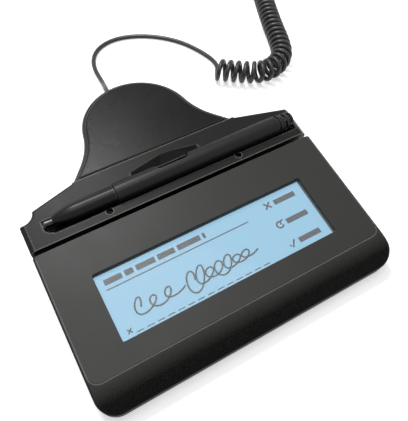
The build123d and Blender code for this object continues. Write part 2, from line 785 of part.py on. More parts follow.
def trough(grow):
    barrel = BARREL_RADIUS + FREE_GAP + grow
    grip = GRIP_RADIUS + FREE_GAP + grow
    pocket = POCKET_RADIUS + grow
    length = BOOT_END + TROUGH_END_GAP - NIB_TIP + grow
    whole = turned((
        (POCKET_END - grow, 0),
        (POCKET_END - grow, pocket),
        (CONE_FRONT, pocket),
        (CONE_FRONT + POCKET_TAPER, grip),
        (GRIP_END - grow, grip),
        (GRIP_END - grow, barrel),
        (length, barrel),
        (length, 0),
    ))
    front = turned((
        (POCKET_END - grow, 0),
        *((POCKET_END - grow + along, radius + grow) for along, radius in POCKET_MOUTH),
        (GRIP_END, barrel),
        (GRIP_END, 0),
    ))
    front &= block(2 * PAD_WIDTH, (-PEN_Y, 0), (-PEN_Y, PEN_Y))
    return Location((NIB_TIP, PEN_Y, PEN_Z)) * (whole + front)


def lip_bevel():
    lip = PEN_Y - sqrt((BARREL_RADIUS + FREE_GAP) ** 2 - PEN_Z ** 2)
    outline = Polyline((lip - LIP_BEVEL, 0), (lip + LIP_BEVEL, -2 * LIP_BEVEL), (lip + LIP_BEVEL, 0), close=True)
    start = NIB_TIP + POCKET_END + POCKET_MOUTH[-1][0]
    end = BOOT_END + TROUGH_END_GAP
    section = Plane(origin=(start, 0, 0), x_dir=(0, 1, 0), z_dir=(1, 0, 0)) * make_face(outline)
    return extrude(section, amount=end - start)


def scoop():
    plan = make_face(Polyline(
        (SCOOP_END_XS[0], PEN_Y),
        (SCOOP_END_XS[0], SCOOP_FRONT),
        *SCOOP_RIM,
        (SCOOP_END_XS[1], SCOOP_FRONT),
        (SCOOP_END_XS[1], PEN_Y),
        close=True,
    ))
    cut = extrude(plan, amount=PEN_Y, both=True)
    cut &= block(PAD_WIDTH, (PEN_Y, TRAY_REAR), (-PEN_Y, OVERRUN))
    left = Plane(facet_points(SCOOP_RIM[0], SCOOP_RIM[1], SCOOP_FLOOR_XS[0]))
    middle = Plane(facet_points(SCOOP_RIM[1], SCOOP_RIM[2], SCOOP_FLOOR_XS[0]))
    right = Plane(facet_points(SCOOP_RIM[2], SCOOP_RIM[3], SCOOP_FLOOR_XS[1]))
    for plane in (left, middle, right):
        cut = split(cut, bisect_by=plane, keep=Keep.TOP)
    slot_length = SCOOP_END_XS[1] - SCOOP_END_XS[0]
    slot = block(slot_length, (PEN_Y, SCOOP_FRONT), (-SCOOP_SLOT_DEPTH, OVERRUN))
    return cut + Location(((SCOOP_END_XS[0] + SCOOP_END_XS[1]) / 2, 0, 0)) * slot


def facet_points(first, second, floor_x):
    a = Vector(*first, 0)
    b = Vector(*second, 0)
    c = Vector(floor_x, SCOOP_FRONT, -SCOOP_DEPTH)
    normal = (b - a).cross(c - a).normalized()
    if normal.Z < 0:
        normal = -normal
    return Location(Plane(origin=a, x_dir=(b - a).normalized(), z_dir=normal))


def lip_notches(grow, depth):
    return [post(place, LIP_NOTCH_RADIUS + grow, -depth, OVERRUN) for place in LIP_NOTCH_PLACES]


def side_edges(shape):
    edges = shape.edges().filter_by(Axis.Y).filter_by(lambda edge: abs(edge.center().Z) < TOUCH_FIT)
    return [edge for edge in edges if abs(abs(edge.center().X) - HALF_WIDTH) < TOUCH_FIT]


def rear_edges(shape):
    top = shape.faces().filter_by(lambda face: face.normal_at().Z > LEVEL_SHARE)
    top = top.filter_by(lambda face: abs(face.center().Z) < TOUCH_FIT)
    edges = top.edges().filter_by(lambda edge: edge.center().Y > PEN_Y)
    return edges.filter_by(lambda edge: abs(edge.center().X) > WING_ROOT_X)


def guard_outside():
    outer = guard_block(0)
    outer = chamfer(side_edges(outer), GUARD_SIDE_BEVEL)
    return fillet(rear_edges(outer), GUARD_REAR_ROUND)


def guard_hollow():
    hollow = guard_block(GUARD_WALL) - trough(GUARD_WALL)
    hollow -= lip_notches(LIP_NOTCH_WALL, LIP_NOTCH_DEPTH + LIP_NOTCH_WALL)
    backing_width = SCOOP_BACKING_XS[1] - SCOOP_BACKING_XS[0]
    middle = (SCOOP_BACKING_XS[0] + SCOOP_BACKING_XS[1]) / 2
    depth = GUARD_WALL + SCOOP_BACKING
    backing = block(backing_width, (PEN_Y, TRAY_REAR - GUARD_WALL), (-depth, 0))
    return hollow - Location((middle, 0, 0)) * backing


def pen_tray():
    shell = guard_outside() - guard_hollow()
    inside = guard_block(GUARD_WALL / 2)
    shell = FACE * shell
    inside = FACE * inside
    for place in WING_SCREW_PLACES:
        shell += post(place, BOSS_RADIUS, BOSS_SEAT, REACH / 2) & inside
    shell -= FACE * trough(0)
    shell -= FACE * lip_bevel()
    shell -= FACE * scoop()
    shell -= [FACE * notch for notch in lip_notches(0, LIP_NOTCH_DEPTH)]
    opening = extrude(bell(-COVER_LEDGE, COVER_FRONT + COVER_LEDGE), amount=-CROWN_RADIUS / 2)
    shell -= FACE * opening
    for place in WING_SCREW_PLACES:
        shell -= pilot(place, BOSS_SEAT - OVERRUN, BOSS_SEAT + SCREW_BITE + PILOT_SPARE)
    shell -= passage()
    seat_y = (GLAND_START, WALL_OUTSIDE + OVERRUN)
    shell -= gland_ring(GLAND_FLANGE_RADIUS + TOUCH_FIT, seat_y)
    shell -= gland_ring(GLAND_NECK_RADIUS, (GLAND_START - 2 * GUARD_WALL, WALL_OUTSIDE))
    return slab(shell, FLOOR_TOP, REACH / 2)


def hump_cover():
    depth = CROWN_RADIUS / 2
    plate = extrude(bell(0, COVER_FRONT), amount=-depth)
    plate = fillet(plate.edges().filter_by(Axis.Z).group_by(Axis.Y)[0], COVER_CORNER)
    plate -= above_cover_plane(COVER_DROP, TRAY_REAR)
    plate = fillet(rim_edges(plate), COVER_ROUND)
    plate &= above_cover_plane(COVER_DROP + RIM_DEPTH, TRAY_REAR)
    skirt = extrude(bell(-COVER_LEDGE - TOUCH_FIT, COVER_FRONT + COVER_LEDGE + TOUCH_FIT), amount=-depth)
    inner = COVER_LEDGE + TOUCH_FIT + SKIRT_THICKNESS
    skirt -= extrude(bell(-inner, COVER_FRONT + inner), amount=-depth)
    skirt &= above_cover_plane(COVER_DROP + RIM_DEPTH + SKIRT_DEPTH, TRAY_REAR)
    skirt -= above_cover_plane(COVER_DROP + RIM_DEPTH / 2, TRAY_REAR)
    cover = FACE * (plate + skirt)
    inside = FACE * (above_cover_plane(0, TRAY_REAR) + block(REACH, (0, TRAY_REAR), (0, REACH)))
    limit = FACE * above_cover_plane(COVER_DROP + RIM_DEPTH / 2, TRAY_REAR)
    for place in COVER_SCREW_PLACES:
        cover += post(place, BOSS_RADIUS, BOSS_SEAT, REACH / 2) - limit - inside
        cover -= pilot(place, BOSS_SEAT - OVERRUN, BOSS_SEAT + SCREW_BITE + PILOT_SPARE)
    return cover


def guard_base():
    outer = slab(FACE * guard_block(0), UNDERSIDE, FLOOR_TOP)
    outer = chamfer(bottom_edges(outer), BOTTOM_CHAMFER)
    lip_inset = GUARD_WALL + TOUCH_FIT
    lip = slab(FACE * guard_block(lip_inset), UNDERSIDE + LINK_THICKNESS, FLOOR_TOP + LIP_RISE)
    hollow = slab(FACE * guard_block(lip_inset + LIP_THICKNESS), FLOOR_TOP, REACH / 2)
    base = outer + lip - hollow
    places = WING_SCREW_PLACES + COVER_SCREW_PLACES
    base += seat_bosses(places)
    base += link_bosses(LINK_SCREW_YS[1])
    base += clamp_block(FLOOR_TOP - OVERRUN, CLAMP_PARTING)
    base -= seat_cuts(places)
    base -= link_cuts(LINK_SCREW_YS[1])
    base -= foot_cuts(GUARD_FOOT_PLACES)
    base -= clamp_groove()
    low = CLAMP_PARTING - CLAMP_SCREW_BITE - PILOT_SPARE
    base -= [pilot(place, low, CLAMP_PARTING + OVERRUN) for place in clamp_places()]
    return base


# Cord gland, clamp and inner cord

def gland_ring(radius, y_range):
    place = FACE * Location((0, y_range[0], -GLAND_DEPTH), (-90, 0, 0))
    return place * extrude(Circle(radius), amount=y_range[1] - y_range[0])


def cable_gland():
    flange_end = GLAND_START + GLAND_FLANGE
    grip_end = GLAND_START + GLAND_SEAT - GUARD_WALL - GLAND_GRIP_GAP
    neck = GLAND_NECK_RADIUS - CORD_FIT
    profile = (
        (grip_end - GLAND_GRIP, CORD_RADIUS + CORD_FIT),
        (grip_end - GLAND_GRIP, GLAND_GRIP_RADIUS),
        (grip_end, GLAND_GRIP_RADIUS),
        (grip_end, neck),
        (GLAND_START, neck),
        (GLAND_START, GLAND_FLANGE_RADIUS),
        (flange_end, GLAND_FLANGE_RADIUS),
        (flange_end, GLAND_CONE_RADII[0]),
        (GLAND_END, GLAND_CONE_RADII[1]),
        (GLAND_END, CORD_RADIUS + CORD_FIT),
    )
    return FACE * Location((0, 0, -GLAND_DEPTH), (0, 0, 90)) * turned(profile)


def clamp_places():
    return [(-CLAMP_SCREW_X, CLAMP_Y), (CLAMP_SCREW_X, CLAMP_Y)]


def clamp_block(low, high):
    return block(CLAMP_LENGTH, (CLAMP_Y - CLAMP_DEPTH / 2, CLAMP_Y + CLAMP_DEPTH / 2), (low, high))


def clamp_groove():
    return gland_ring(CORD_RADIUS + CORD_FIT, (CLAMP_Y - 2 * CLAMP_DEPTH, CLAMP_Y + 2 * CLAMP_DEPTH))


def cable_clamp():
    bar = clamp_block(CLAMP_PARTING, CLAMP_PARTING + CLAMP_THICKNESS)
    bar -= clamp_groove()
    top = CLAMP_PARTING + CLAMP_THICKNESS
    return bar - [hole(place, 0, top + OVERRUN) for place in clamp_places()]


def clamp_screws():
    top = CLAMP_PARTING + CLAMP_THICKNESS
    length = CLAMP_THICKNESS + CLAMP_SCREW_BITE
    return group(screw_down(place, top, length) for place in clamp_places())


def inner_cord():
    start = (FACE * Location((0, GLAND_END, -GLAND_DEPTH))).position
    tilt = radians(FACE_TILT)
    low = start.Z - (start.Y - INNER_BEND_YS[0]) * tan(tilt)
    first = Vector(0, INNER_BEND_YS[0], low)
    second = Vector(HEADER_X, INNER_BEND_YS[1], PASSAGE_HEIGHT)
    end = Vector(HEADER_X, header_rear(), PASSAGE_HEIGHT)
    path = FilletPolyline(start, first, second, end, radius=INNER_BEND_RADIUS)
    return tube_on(path)


# Pen

def pen_nib():
    nib = turned(((0, 0), (0, NIB_RADIUS), (NIB_LENGTH, NIB_RADIUS), (NIB_LENGTH, 0)))
    tip = nib.edges().sort_by(Axis.X)[0]
    return PEN_START * fillet(tip, NIB_RADIUS - SLIDE_FIT)


def pen_grip():
    spigot_end = BARREL_START + SPIGOT_LENGTH
    nib_hole = NIB_RADIUS + SLIDE_FIT
    full = (GRIP_FULL, GRIP_RADIUS)
    front = (CONE_FRONT, CONE_FRONT_RADIUS)
    rest = Polyline(
        full,
        (GRIP_END, GRIP_RADIUS),
        (GRIP_END, GRIP_SPIGOT),
        (spigot_end, GRIP_SPIGOT),
        (spigot_end, GRIP_BORE),
        (GRIP_BORE_FRONT, GRIP_BORE),
        (GRIP_BORE_FRONT, nib_hole),
        (CONE_FRONT, nib_hole),
        front,
    )
    outline = TangentArc(full, front, tangent=(-1, 0)) + rest
    return PEN_START * revolve(make_face(outline), Axis.X)


def flat_cut(depth, xs):
    inner = BARREL_RADIUS - depth
    outer = BARREL_RADIUS + FLAT_RISE
    along = (1, 0)
    fall = Spline((xs[0], outer), (xs[1], inner), tangents=(along, along))
    rise = Spline((xs[2], inner), (xs[3], outer), tangents=(along, along))
    top = Polyline((xs[3], outer), (xs[3], 2 * outer), (xs[0], 2 * outer), (xs[0], outer))
    outline = fall + Line((xs[1], inner), (xs[2], inner)) + rise + top
    return extrude(make_face(outline), amount=2 * BARREL_RADIUS, both=True)


def pen_barrel():
    start = NIB_TIP + BARREL_START
    barrel = turned(((start, 0), (start, BARREL_RADIUS), (BARREL_END, BARREL_RADIUS), (BARREL_END, 0)))
    barrel = fillet(barrel.edges().filter_by(GeomType.CIRCLE), BARREL_EDGE)
    bore = turned((
        (start - OVERRUN, 0),
        (start - OVERRUN, BARREL_BORE),
        (BARREL_END + OVERRUN, BARREL_BORE),
        (BARREL_END + OVERRUN, 0),
    ))
    wall_inside = BARREL_RADIUS - FLAT_DEPTH - FLAT_WALL
    length = FLAT_WALL_XS[1] - FLAT_WALL_XS[0]
    bridge = block(length, (wall_inside, BARREL_RADIUS), (-BARREL_RADIUS, BARREL_RADIUS))
    turn = Location((0, 0, 0), (FLAT_TURN, 0, 0))
    bore -= turn * Location(((FLAT_WALL_XS[0] + FLAT_WALL_XS[1]) / 2, 0, 0)) * bridge
    return PEN_AXIS * (barrel - bore - turn * flat_cut(FLAT_DEPTH, FLAT_XS))


def boot_slot(x, start, sweep_angle):
    bottom = BOOT_END_RADIUS - BOOT_SLOT_DEPTH
    half = BOOT_SLOT_WIDTH / 2
    outline = Polyline((x - half, bottom), (x + half, bottom), (x + half, BARREL_RADIUS),
                       (x - half, BARREL_RADIUS), close=True)
    ring = revolve(make_face(outline), Axis.X, revolution_arc=sweep_angle)
    return Location((0, 0, 0), (start, 0, 0)) * ring


def pen_boot():
    spigot_start = BOOT_START - SPIGOT_LENGTH
    boot = turned((
        (spigot_start, 0),
        (spigot_start, BARREL_BORE - TOUCH_FIT),
        (BOOT_START, BARREL_BORE - TOUCH_FIT),
        (BOOT_START, BOOT_RADIUS),
        (BOOT_END, BOOT_END_RADIUS),
        (BOOT_END, 0),
    ))
    end_edge = boot.edges().filter_by(GeomType.CIRCLE).sort_by(Axis.X)[-1]
    boot = fillet(end_edge, BOOT_ROUND)
    bore_start = BOOT_END - BOOT_BORE_DEPTH
    end = BOOT_END + OVERRUN
    boot -= turned(((bore_start, 0), (bore_start, BOOT_BORE), (end, BOOT_BORE), (end, 0)))
    boot -= [boot_slot(BOOT_START + x, start, angle) for x, start, angle in BOOT_SLOTS]
    return PEN_AXIS * boot


def ring_piece(xs, inner, outer):
    return PEN_START * turned(((xs[0], inner), (xs[0], outer), (xs[1], outer), (xs[1], inner)))


def pen_ferrite():
    return ring_piece(FERRITE_XS, NIB_RADIUS + FREE_GAP, FERRITE_RADIUS)


def pen_coil():
    return ring_piece(FERRITE_XS, FERRITE_RADIUS, GRIP_BORE)


def nib_sensor():
    start = NIB_LENGTH + NIB_TRAVEL + SLIDE_FIT
    return PEN_START * turned(((start, 0), (start, GRIP_BORE), (SENSOR_CELL_END, GRIP_BORE),
                              (SENSOR_CELL_END, 0)))


def pen_board():
    board = Box(PEN_BOARD_LENGTH, PEN_BOARD_THICKNESS, PEN_BOARD_WIDTH)
    middle = SENSOR_CELL_END + PEN_BOARD_LENGTH / 2
    return PEN_START * Location((middle, PEN_BOARD_OFFSET, 0)) * board


# Cord outside

def tube_on(path):
    start = path @ 0
    disc = Plane(origin=start, z_dir=path % 0) * Circle(CORD_RADIUS)
    return sweep(disc, path=path)


def bend_radii(points):
    radii = []
    for before, corner, after in zip(points, points[1:], points[2:]):
        first = corner - before
        second = after - corner
        turn = acos(first.normalized().dot(second.normalized()))
        radii.append(BEND_SHARE * min(first.length, second.length) / tan(turn / 2))
    return radii


def routed_tube(name, points):
    radii = bend_radii(points)
    path = FilletPolyline(*points, radius=radii)
    tube = tube_on(path)
    share = tube.volume / (pi * CORD_RADIUS ** 2 * path.length)
    print(name, "length", round(path.length, 1), "volume share", round(share, 4))
    print(name, "bend radii", [round(radius, 1) for radius in radii])
    return tube


def biarc(start, start_way, end, end_way):
    span = end - start
    ways = start_way + end_way
    bend = 2 * (1 - start_way.dot(end_way))
    along = span.dot(ways)
    if bend > PARALLEL_SHARE:
        reach = (sqrt(along ** 2 + bend * span.dot(span)) - along) / bend
    else:
        reach = span.dot(span) / (4 * span.dot(end_way))
    middle = (start + end + (start_way - end_way) * reach) / 2
    middle_way = (end - end_way * reach - start - start_way * reach).normalized()
    first = Edge.make_tangent_arc(start, start_way, middle)
    return [first, Edge.make_tangent_arc(middle, middle_way, end)]


def wound_tube(name, nodes):
    first, first_way = nodes[0]
    last, last_way = nodes[-1]
    edges = [Edge.make_line(first - first_way * CORD_DIAMETER, first)]
    for (start, start_way), (end, end_way) in zip(nodes, nodes[1:]):
        edges += biarc(start, start_way, end, end_way)
    edges.append(Edge.make_line(last, last + last_way * CORD_DIAMETER))
    tube = tube_on(Wire(edges))
    length = sum(edge.length for edge in edges)
    share = tube.volume / (pi * CORD_RADIUS ** 2 * length)
    gap = least_gap(edges)
    print(name, "length", round(length, 1), "volume share", round(share, 4), "gap", round(gap, 2))
    return tube


def least_gap(edges):
    stations = []
    travelled = 0
    for edge in edges:
        length = edge.length
        for step in range(GAP_STEPS):
            share = step / GAP_STEPS
            stations.append((travelled + length * share, edge @ share))
        travelled += length
    gap = REACH
    for number, (distance, point) in enumerate(stations):
        for other_distance, other in stations[number + 1:]:
            if other_distance - distance > GAP_SKIP:
                gap = min(gap, (point - other).length)
    return gap - CORD_DIAMETER


def curl_path():
    points = [Vector(*point, CORD_RADIUS + CURL_RADIUS) for point in CURL_POINTS]
    return FilletPolyline(*points, radius=bend_radii(points))


def curl_nodes():
    path = curl_path()
    first, last = CURL_PITCH_SHARES
    half_turns = 2 * CURL_COUNT
    pitch = path.length / CURL_COUNT
    nodes = []
    for number in range(half_turns + 1):
        share = number / half_turns
        along = first * share + (last - first) * share ** 2 / 2
        local_pitch = pitch * (first + (last - first) * share)
        way = path % along
        side = Vector(way.Y, -way.X, 0)
        angle = number * pi - pi / 2
        outward = side * cos(angle) + Vector(0, 0, sin(angle))
        turning = Vector(0, 0, cos(angle)) - side * sin(angle)
        direction = turning * CURL_RADIUS + way * (local_pitch / (2 * pi))
        nodes.append((path @ along + outward * CURL_RADIUS, direction.normalized()))
    return nodes


def lead_points():
    start = (FACE * Location((0, GLAND_END, -GLAND_DEPTH))).position
    outward = (FACE * Location((0, GLAND_END + LEAD_RISE_RUN, -GLAND_DEPTH))).position
    middle = [Vector(*point, CORD_RADIUS) for point in LEAD_POINTS]
    entry, way = curl_nodes()[0]
    end = entry - way * CORD_DIAMETER
    return [start, outward] + middle + [end - way * LEAD_LAST_RUN, end]


def cord_lead():
    return routed_tube("cord_lead", lead_points())


def cord_curl():
    return wound_tube("cord_curl", curl_nodes())


def coil_start():
    last, way = curl_nodes()[-1]
    start = last + way * (2 * CORD_DIAMETER + RUN_LENGTH) + Vector(0, 0, COIL_RAISE)
    return start, way


def coil_radii():
    step = COIL_SPACING / 2
    turns = range(COIL_LAYER_HALF_TURNS + 1)
    inward = [COIL_OUTER - step * number for number in turns]
    outward = [inward[-1] + COIL_UPPER_OFFSET + step * number for number in turns[:-1]]
    return inward + [inward[-1] - COIL_CLIMB_INSET] + outward


def coil_frame():
    start, way = coil_start()
    left = Vector(-way.Y, way.X, 0)
    centre = start + left * COIL_OUTER
    return centre, way, left


def coil_point(angle, radius, rise):
    centre, way, left = coil_frame()
    return centre + (way * sin(angle) - left * cos(angle)) * radius + Vector(0, 0, rise)


def coil_nodes():
    centre, way, left = coil_frame()
    radii = coil_radii()
    nodes = []
    for number, radius in enumerate(radii):
        before = radii[max(number - 1, 0)]
        after = radii[min(number + 1, len(radii) - 1)]
        growth = (after - before) / (2 * pi)
        if number in (0, len(radii) - 1):
            growth = 0
        angle = number * pi
        outward = way * sin(angle) - left * cos(angle)
        round_way = way * cos(angle) + left * sin(angle)
        rise = COIL_SPACING if number > COIL_LAYER_HALF_TURNS else 0
        direction = (round_way * radius + outward * growth).normalized()
        nodes.append((coil_point(angle, radius, rise), direction))
    return nodes


def cord_run():
    start, way = curl_nodes()[-1]
    start = start + way * CORD_DIAMETER
    end = coil_nodes()[0][0] - coil_nodes()[0][1] * CORD_DIAMETER
    points = [start, start + way * RUN_STEP, end - way * RUN_STEP, end]
    return routed_tube("cord_run", points)


def cord_coil():
    return wound_tube("cord_coil", coil_nodes())


def end_points():
    last, way = coil_nodes()[-1]
    points = [last + way * CORD_DIAMETER]
    for forward, rise in END_RUNS:
        points.append(points[-1] + way * forward + Vector(0, 0, rise))
    return points


def cord_end():
    return routed_tube("cord_end", end_points())


def cord_tie():
    radii = coil_radii()
    centre, way, left = coil_frame()
    top_inner = (radii[COIL_LAYER_HALF_TURNS + 1] + radii[COIL_LAYER_HALF_TURNS + 2]) / 2
    low_outer = (radii[1] + radii[2]) / 2
    inner = top_inner - CORD_RADIUS - TIE_SIDE_CLEARANCE
    outer = low_outer + CORD_RADIUS + TIE_SIDE_CLEARANCE
    low = COIL_RAISE - TIE_CLEARANCE
    high = COIL_RAISE + COIL_SPACING + CORD_DIAMETER + TIE_CLEARANCE
    sheet = TIE_THICKNESS
    band = block(outer - inner + 2 * sheet, (-TIE_WIDTH / 2, TIE_WIDTH / 2), (low - sheet, high + sheet))
    band -= block(outer - inner, (-TIE_WIDTH, TIE_WIDTH), (low, high))
    radial = way * sin(3 * pi / 2)
    middle = centre + radial * ((inner + outer) / 2)
    place = Plane(origin=(middle.X, middle.Y, 0), x_dir=radial, z_dir=(0, 0, 1))
    return place.location * band


# Plug

def plug_frame():
    points = end_points()
    way = coil_nodes()[-1][1]
    return Plane(origin=points[-1], x_dir=way, z_dir=(0, 0, 1)).location


def box_ahead(start, length, width, height):
    box = Box(length, width, height)
    return Location((start + length / 2, 0, 0)) * box


def plug_overmould():
    neck = turned(((0, 0), (0, MOULD_NECK_RADII[0]), (MOULD_NECK_LENGTH, MOULD_NECK_RADII[1]),
                   (MOULD_NECK_LENGTH + OVERRUN, MOULD_NECK_RADII[1]),
                   (MOULD_NECK_LENGTH + OVERRUN, 0)))
    body = box_ahead(MOULD_NECK_LENGTH, MOULD_LENGTH, MOULD_WIDTH, MOULD_HEIGHT)
    body = fillet(body.edges().filter_by(Axis.Z), MOULD_ROUND)
    body = fillet(body.edges().group_by(Axis.Z)[-1], MOULD_ROUND / 2)
    end = MOULD_NECK_LENGTH + MOULD_LENGTH
    body -= box_ahead(end - SHELL_BITE, SHELL_BITE + OVERRUN, SHELL_WIDTH, SHELL_HEIGHT)
    return plug_frame() * (neck + body)


def plug_shell():
    start = MOULD_NECK_LENGTH + MOULD_LENGTH - SHELL_BITE
    length = SHELL_BITE + SHELL_LENGTH
    shell = box_ahead(start, length, SHELL_WIDTH, SHELL_HEIGHT)
    inner_width = SHELL_WIDTH - 2 * SHELL_SHEET
    inner_height = SHELL_HEIGHT - 2 * SHELL_SHEET
    shell -= box_ahead(start - OVERRUN, length + 2 * OVERRUN, inner_width, inner_height)
    return plug_frame() * shell


def plug_insert():
    start = MOULD_NECK_LENGTH + MOULD_LENGTH - SHELL_BITE
    width = SHELL_WIDTH - 2 * SHELL_SHEET - 2 * TOUCH_FIT
    height = SHELL_HEIGHT - 2 * SHELL_SHEET - 2 * TOUCH_FIT
    length = SHELL_BITE + SHELL_LENGTH - TONGUE_SETBACK
    rise = (height - TONGUE_THICKNESS) / 2
    insert = box_ahead(start, TONGUE_BASE, width, height)
    insert += Location((0, 0, rise)) * box_ahead(start, length, width, TONGUE_THICKNESS)
    return plug_frame() * insert


# Assembly

def build_nodes():
    return {
        "top_housing": top_housing(),
        "bottom_housing": bottom_housing(),
        "surface_overlay": surface_overlay(),
        "window_glass": window_glass(),
        "display_bezel": display_bezel(),
        "display_panel": display_panel(),
        "backlight_panel": backlight_panel(),
        "display_ribbon": display_ribbon(),
        "sensor_board": sensor_board(),
        "sensor_screws": sensor_screws(),
        "sensor_ribbon": sensor_ribbon(),
        "main_board": main_board(),
        "board_screws": board_screws(),
        "controller_chip": controller_chip(),
        "board_components": board_components(),
        "ribbon_sockets": ribbon_sockets(),
        "cord_header": cord_header(),
        "housing_screws": case_screws(PAD_SCREW_PLACES),
        "link_plate": link_plate(),
        "link_screws": link_screws(),
        "rubber_feet": rubber_feet(),
        "pen_tray": pen_tray(),
        "hump_cover": hump_cover(),
        "guard_base": guard_base(),
        "base_screws": case_screws(WING_SCREW_PLACES + COVER_SCREW_PLACES),
        "cable_gland": cable_gland(),
        "cable_clamp": cable_clamp(),
        "clamp_screws": clamp_screws(),
        "inner_cord": inner_cord(),
        "pen_nib": pen_nib(),
        "pen_grip": pen_grip(),
        "pen_barrel": pen_barrel(),
        "pen_boot": pen_boot(),
        "pen_ferrite": pen_ferrite(),
        "pen_coil": pen_coil(),
        "nib_sensor": nib_sensor(),
        "pen_board": pen_board(),
        "cord_lead": cord_lead(),
        "cord_curl": cord_curl(),
        "cord_run": cord_run(),
        "cord_coil": cord_coil(),
        "cord_end": cord_end(),
        "cord_tie": cord_tie(),
        "plug_overmould": plug_overmould(),
        "plug_shell": plug_shell(),
        "plug_insert": plug_insert(),
    }


CORD_NODES = (
    "cord_lead",
    "cord_curl",
    "cord_run",
    "cord_coil",
    "cord_end",
    "cord_tie",
    "plug_overmould",
    "plug_shell",
    "plug_insert",
)


def centring(nodes):
    boxes = [nodes[name].bounding_box() for name in nodes if name not in CORD_NODES]
    low_y = min(box.min.Y for box in boxes)
    high_y = max(box.max.Y for box in boxes)
    low_x = min(box.min.X for box in boxes)
    high_x = max(box.max.X for box in boxes)
    return Location((-(low_x + high_x) / 2, -(low_y + high_y) / 2, 0))


def main():
    nodes = build_nodes()
    shift = centring(nodes)
    print("moved by", shift.position)
    os.makedirs("parts", exist_ok=True)
    for name, shape in nodes.items():
        export_step(shift * shape, os.path.join("parts", name + ".step"))


main()
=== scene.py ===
from math import cos, pi, radians, sin

import bpy
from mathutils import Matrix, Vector


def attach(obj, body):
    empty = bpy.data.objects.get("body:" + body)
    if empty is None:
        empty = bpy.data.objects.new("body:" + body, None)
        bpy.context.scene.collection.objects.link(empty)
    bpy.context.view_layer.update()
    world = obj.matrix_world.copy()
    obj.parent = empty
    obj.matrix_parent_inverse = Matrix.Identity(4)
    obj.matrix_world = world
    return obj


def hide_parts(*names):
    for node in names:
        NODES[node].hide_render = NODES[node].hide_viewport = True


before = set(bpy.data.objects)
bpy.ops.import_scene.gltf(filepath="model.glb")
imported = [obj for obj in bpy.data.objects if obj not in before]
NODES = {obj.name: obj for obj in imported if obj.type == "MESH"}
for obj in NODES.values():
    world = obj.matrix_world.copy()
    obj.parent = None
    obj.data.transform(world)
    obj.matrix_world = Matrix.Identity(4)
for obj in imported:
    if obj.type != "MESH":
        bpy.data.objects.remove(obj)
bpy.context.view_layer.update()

# Signature pad with its pen, dressed for looks. Lengths are in metres unless a comment says millimetres.
MM = 0.001

# Camera
CAMERA_PLACE = (-60.44, -135.389, 214.09)  # millimetres
CAMERA_AZIMUTH = -29.45  # degrees
CAMERA_ELEVATION = 55.32  # degrees
CAMERA_LENS = 40.96  # millimetres
CAMERA_SENSOR = 36.0  # millimetres
CLIP_RANGE = (0.01, 10.0)

# Face frame of the pad, millimetres
FACE_TILT = 9.0  # degrees
FACE_HEIGHT = 18.4
FACE_SHIFT = -58.829

# Cord, millimetres in the row frame
CORD_DIAMETER = 3.0
LEAD_POINTS = (
    (0.0, 82.25, 10.47),
    (0.0, 94.59, 12.43),
    (4.0, 112.17, 1.5),
    (4.5, 135.17, 1.5),
    (13.4, 149.97, 1.5),
    (30.4, 155.17, 1.5),
    (50.8, 147.47, 1.5),
    (67.5, 131.57, 1.5),
    (76.3, 113.07, 1.5),
    (80.23, 95.16, 1.5),
    (74.55, 85.74, 1.5),
)
CURL_CENTRES = (
    (73.0, 83.17, 7.3),
    (90.2, 68.97, 7.3),
    (102.6, 66.17, 7.3),
    (114.2, 70.17, 7.3),
    (122.8, 79.97, 7.3),
    (134.5, 113.17, 7.3),
    (156.5, 163.67, 7.3),
)
CURL_RADIUS = 5.8
CURL_COUNT = 31
CURL_PITCH_SHARES = (1.12, 0.88)
CURL_STEPS = 20
CURL_START = -90.0  # degrees
RUN_POINTS = (
    (159.37, 162.8, 1.5),
    (165.11, 161.06, 1.5),
    (172.77, 158.73, 2.5),
    (178.51, 156.99, 2.5),
)
COIL_CENTRE = (187.04, 174.78)
COIL_WAY = (0.956873, -0.290507)
COIL_RADII = (19.5, 17.7, 15.9, 14.1, 12.3, 9.2, 13.2, 15.0, 16.8, 18.6)
COIL_HEIGHTS = (2.5, 2.5, 2.5, 2.5, 2.5, 6.1, 6.1, 6.1, 6.1, 6.1)
COIL_STEPS = 8  # points in each half turn
END_POINTS = (
    (189.58, 193.45, 6.1),
    (180.01, 196.35, 6.1),
    (162.78, 201.58, 1.5),
    (148.43, 205.94, 1.5),
    (136.95, 209.42, 4.0),
    (128.34, 212.04, 4.0),
)
SPLINE_ORDER = 3
SPLINE_DETAIL = 4
CURL_LINE_DETAIL = 24
CORD_ROUNDNESS = 6

# Picture on the display, millimetres in the face frame
INK_LEVEL = -3.12
SCRIBBLE_WIDTH = 0.85
SCRIBBLES = (
    (-46.0, -24.0, (5.6, 2.4, 3.4, 1.6)),
    (-19.0, 15.0, (4.2, 6.4, 2.2, 2.8, 4.6, 1.8, 2.4, 1.2)),
)  # start, end and half heights of the loops
SCRIBBLE_LEVEL = 10.4
SCRIBBLE_SWING = 3.2
SCRIBBLE_SLANT = 0.35
SCRIBBLE_STEPS = 26
HEADING_WORDS = ((-52.6, 8.6), (-42.6, 4.2), (-37.0, 9.6), (-26.0, 8.8), (-15.8, 12.2), (-2.2, 1.4))
HEADING_Y = 27.9
HEADING_HEIGHT = 2.9
RULE = (-53.0, 21.4)
RULE_Y = 24.3
RULE_WIDTH = 0.6
DASH_START = -49.0
DASH_PITCH = 5.0
DASH_LENGTH = 3.4
DASH_COUNT = 14
DASH_Y = 1.5
DASH_WIDTH = 0.5
MARK_PLACE = (-51.6, 3.3)
MARK_REACH = 1.0
MARK_WIDTH = 0.7
KEY_MARK_X = 34.6
KEY_BAR = (38.4, 12.4)
KEY_BAR_HEIGHT = 2.8
KEY_MARK_REACH = 1.7
KEY_MARK_WIDTH = 0.9
KEY_YS = (27.4, 15.8, 4.6)
CHECK_TURN_SHARE = 1 / 3
ARROW_START = 60.0  # degrees
ARROW_SWEEP = 280.0  # degrees
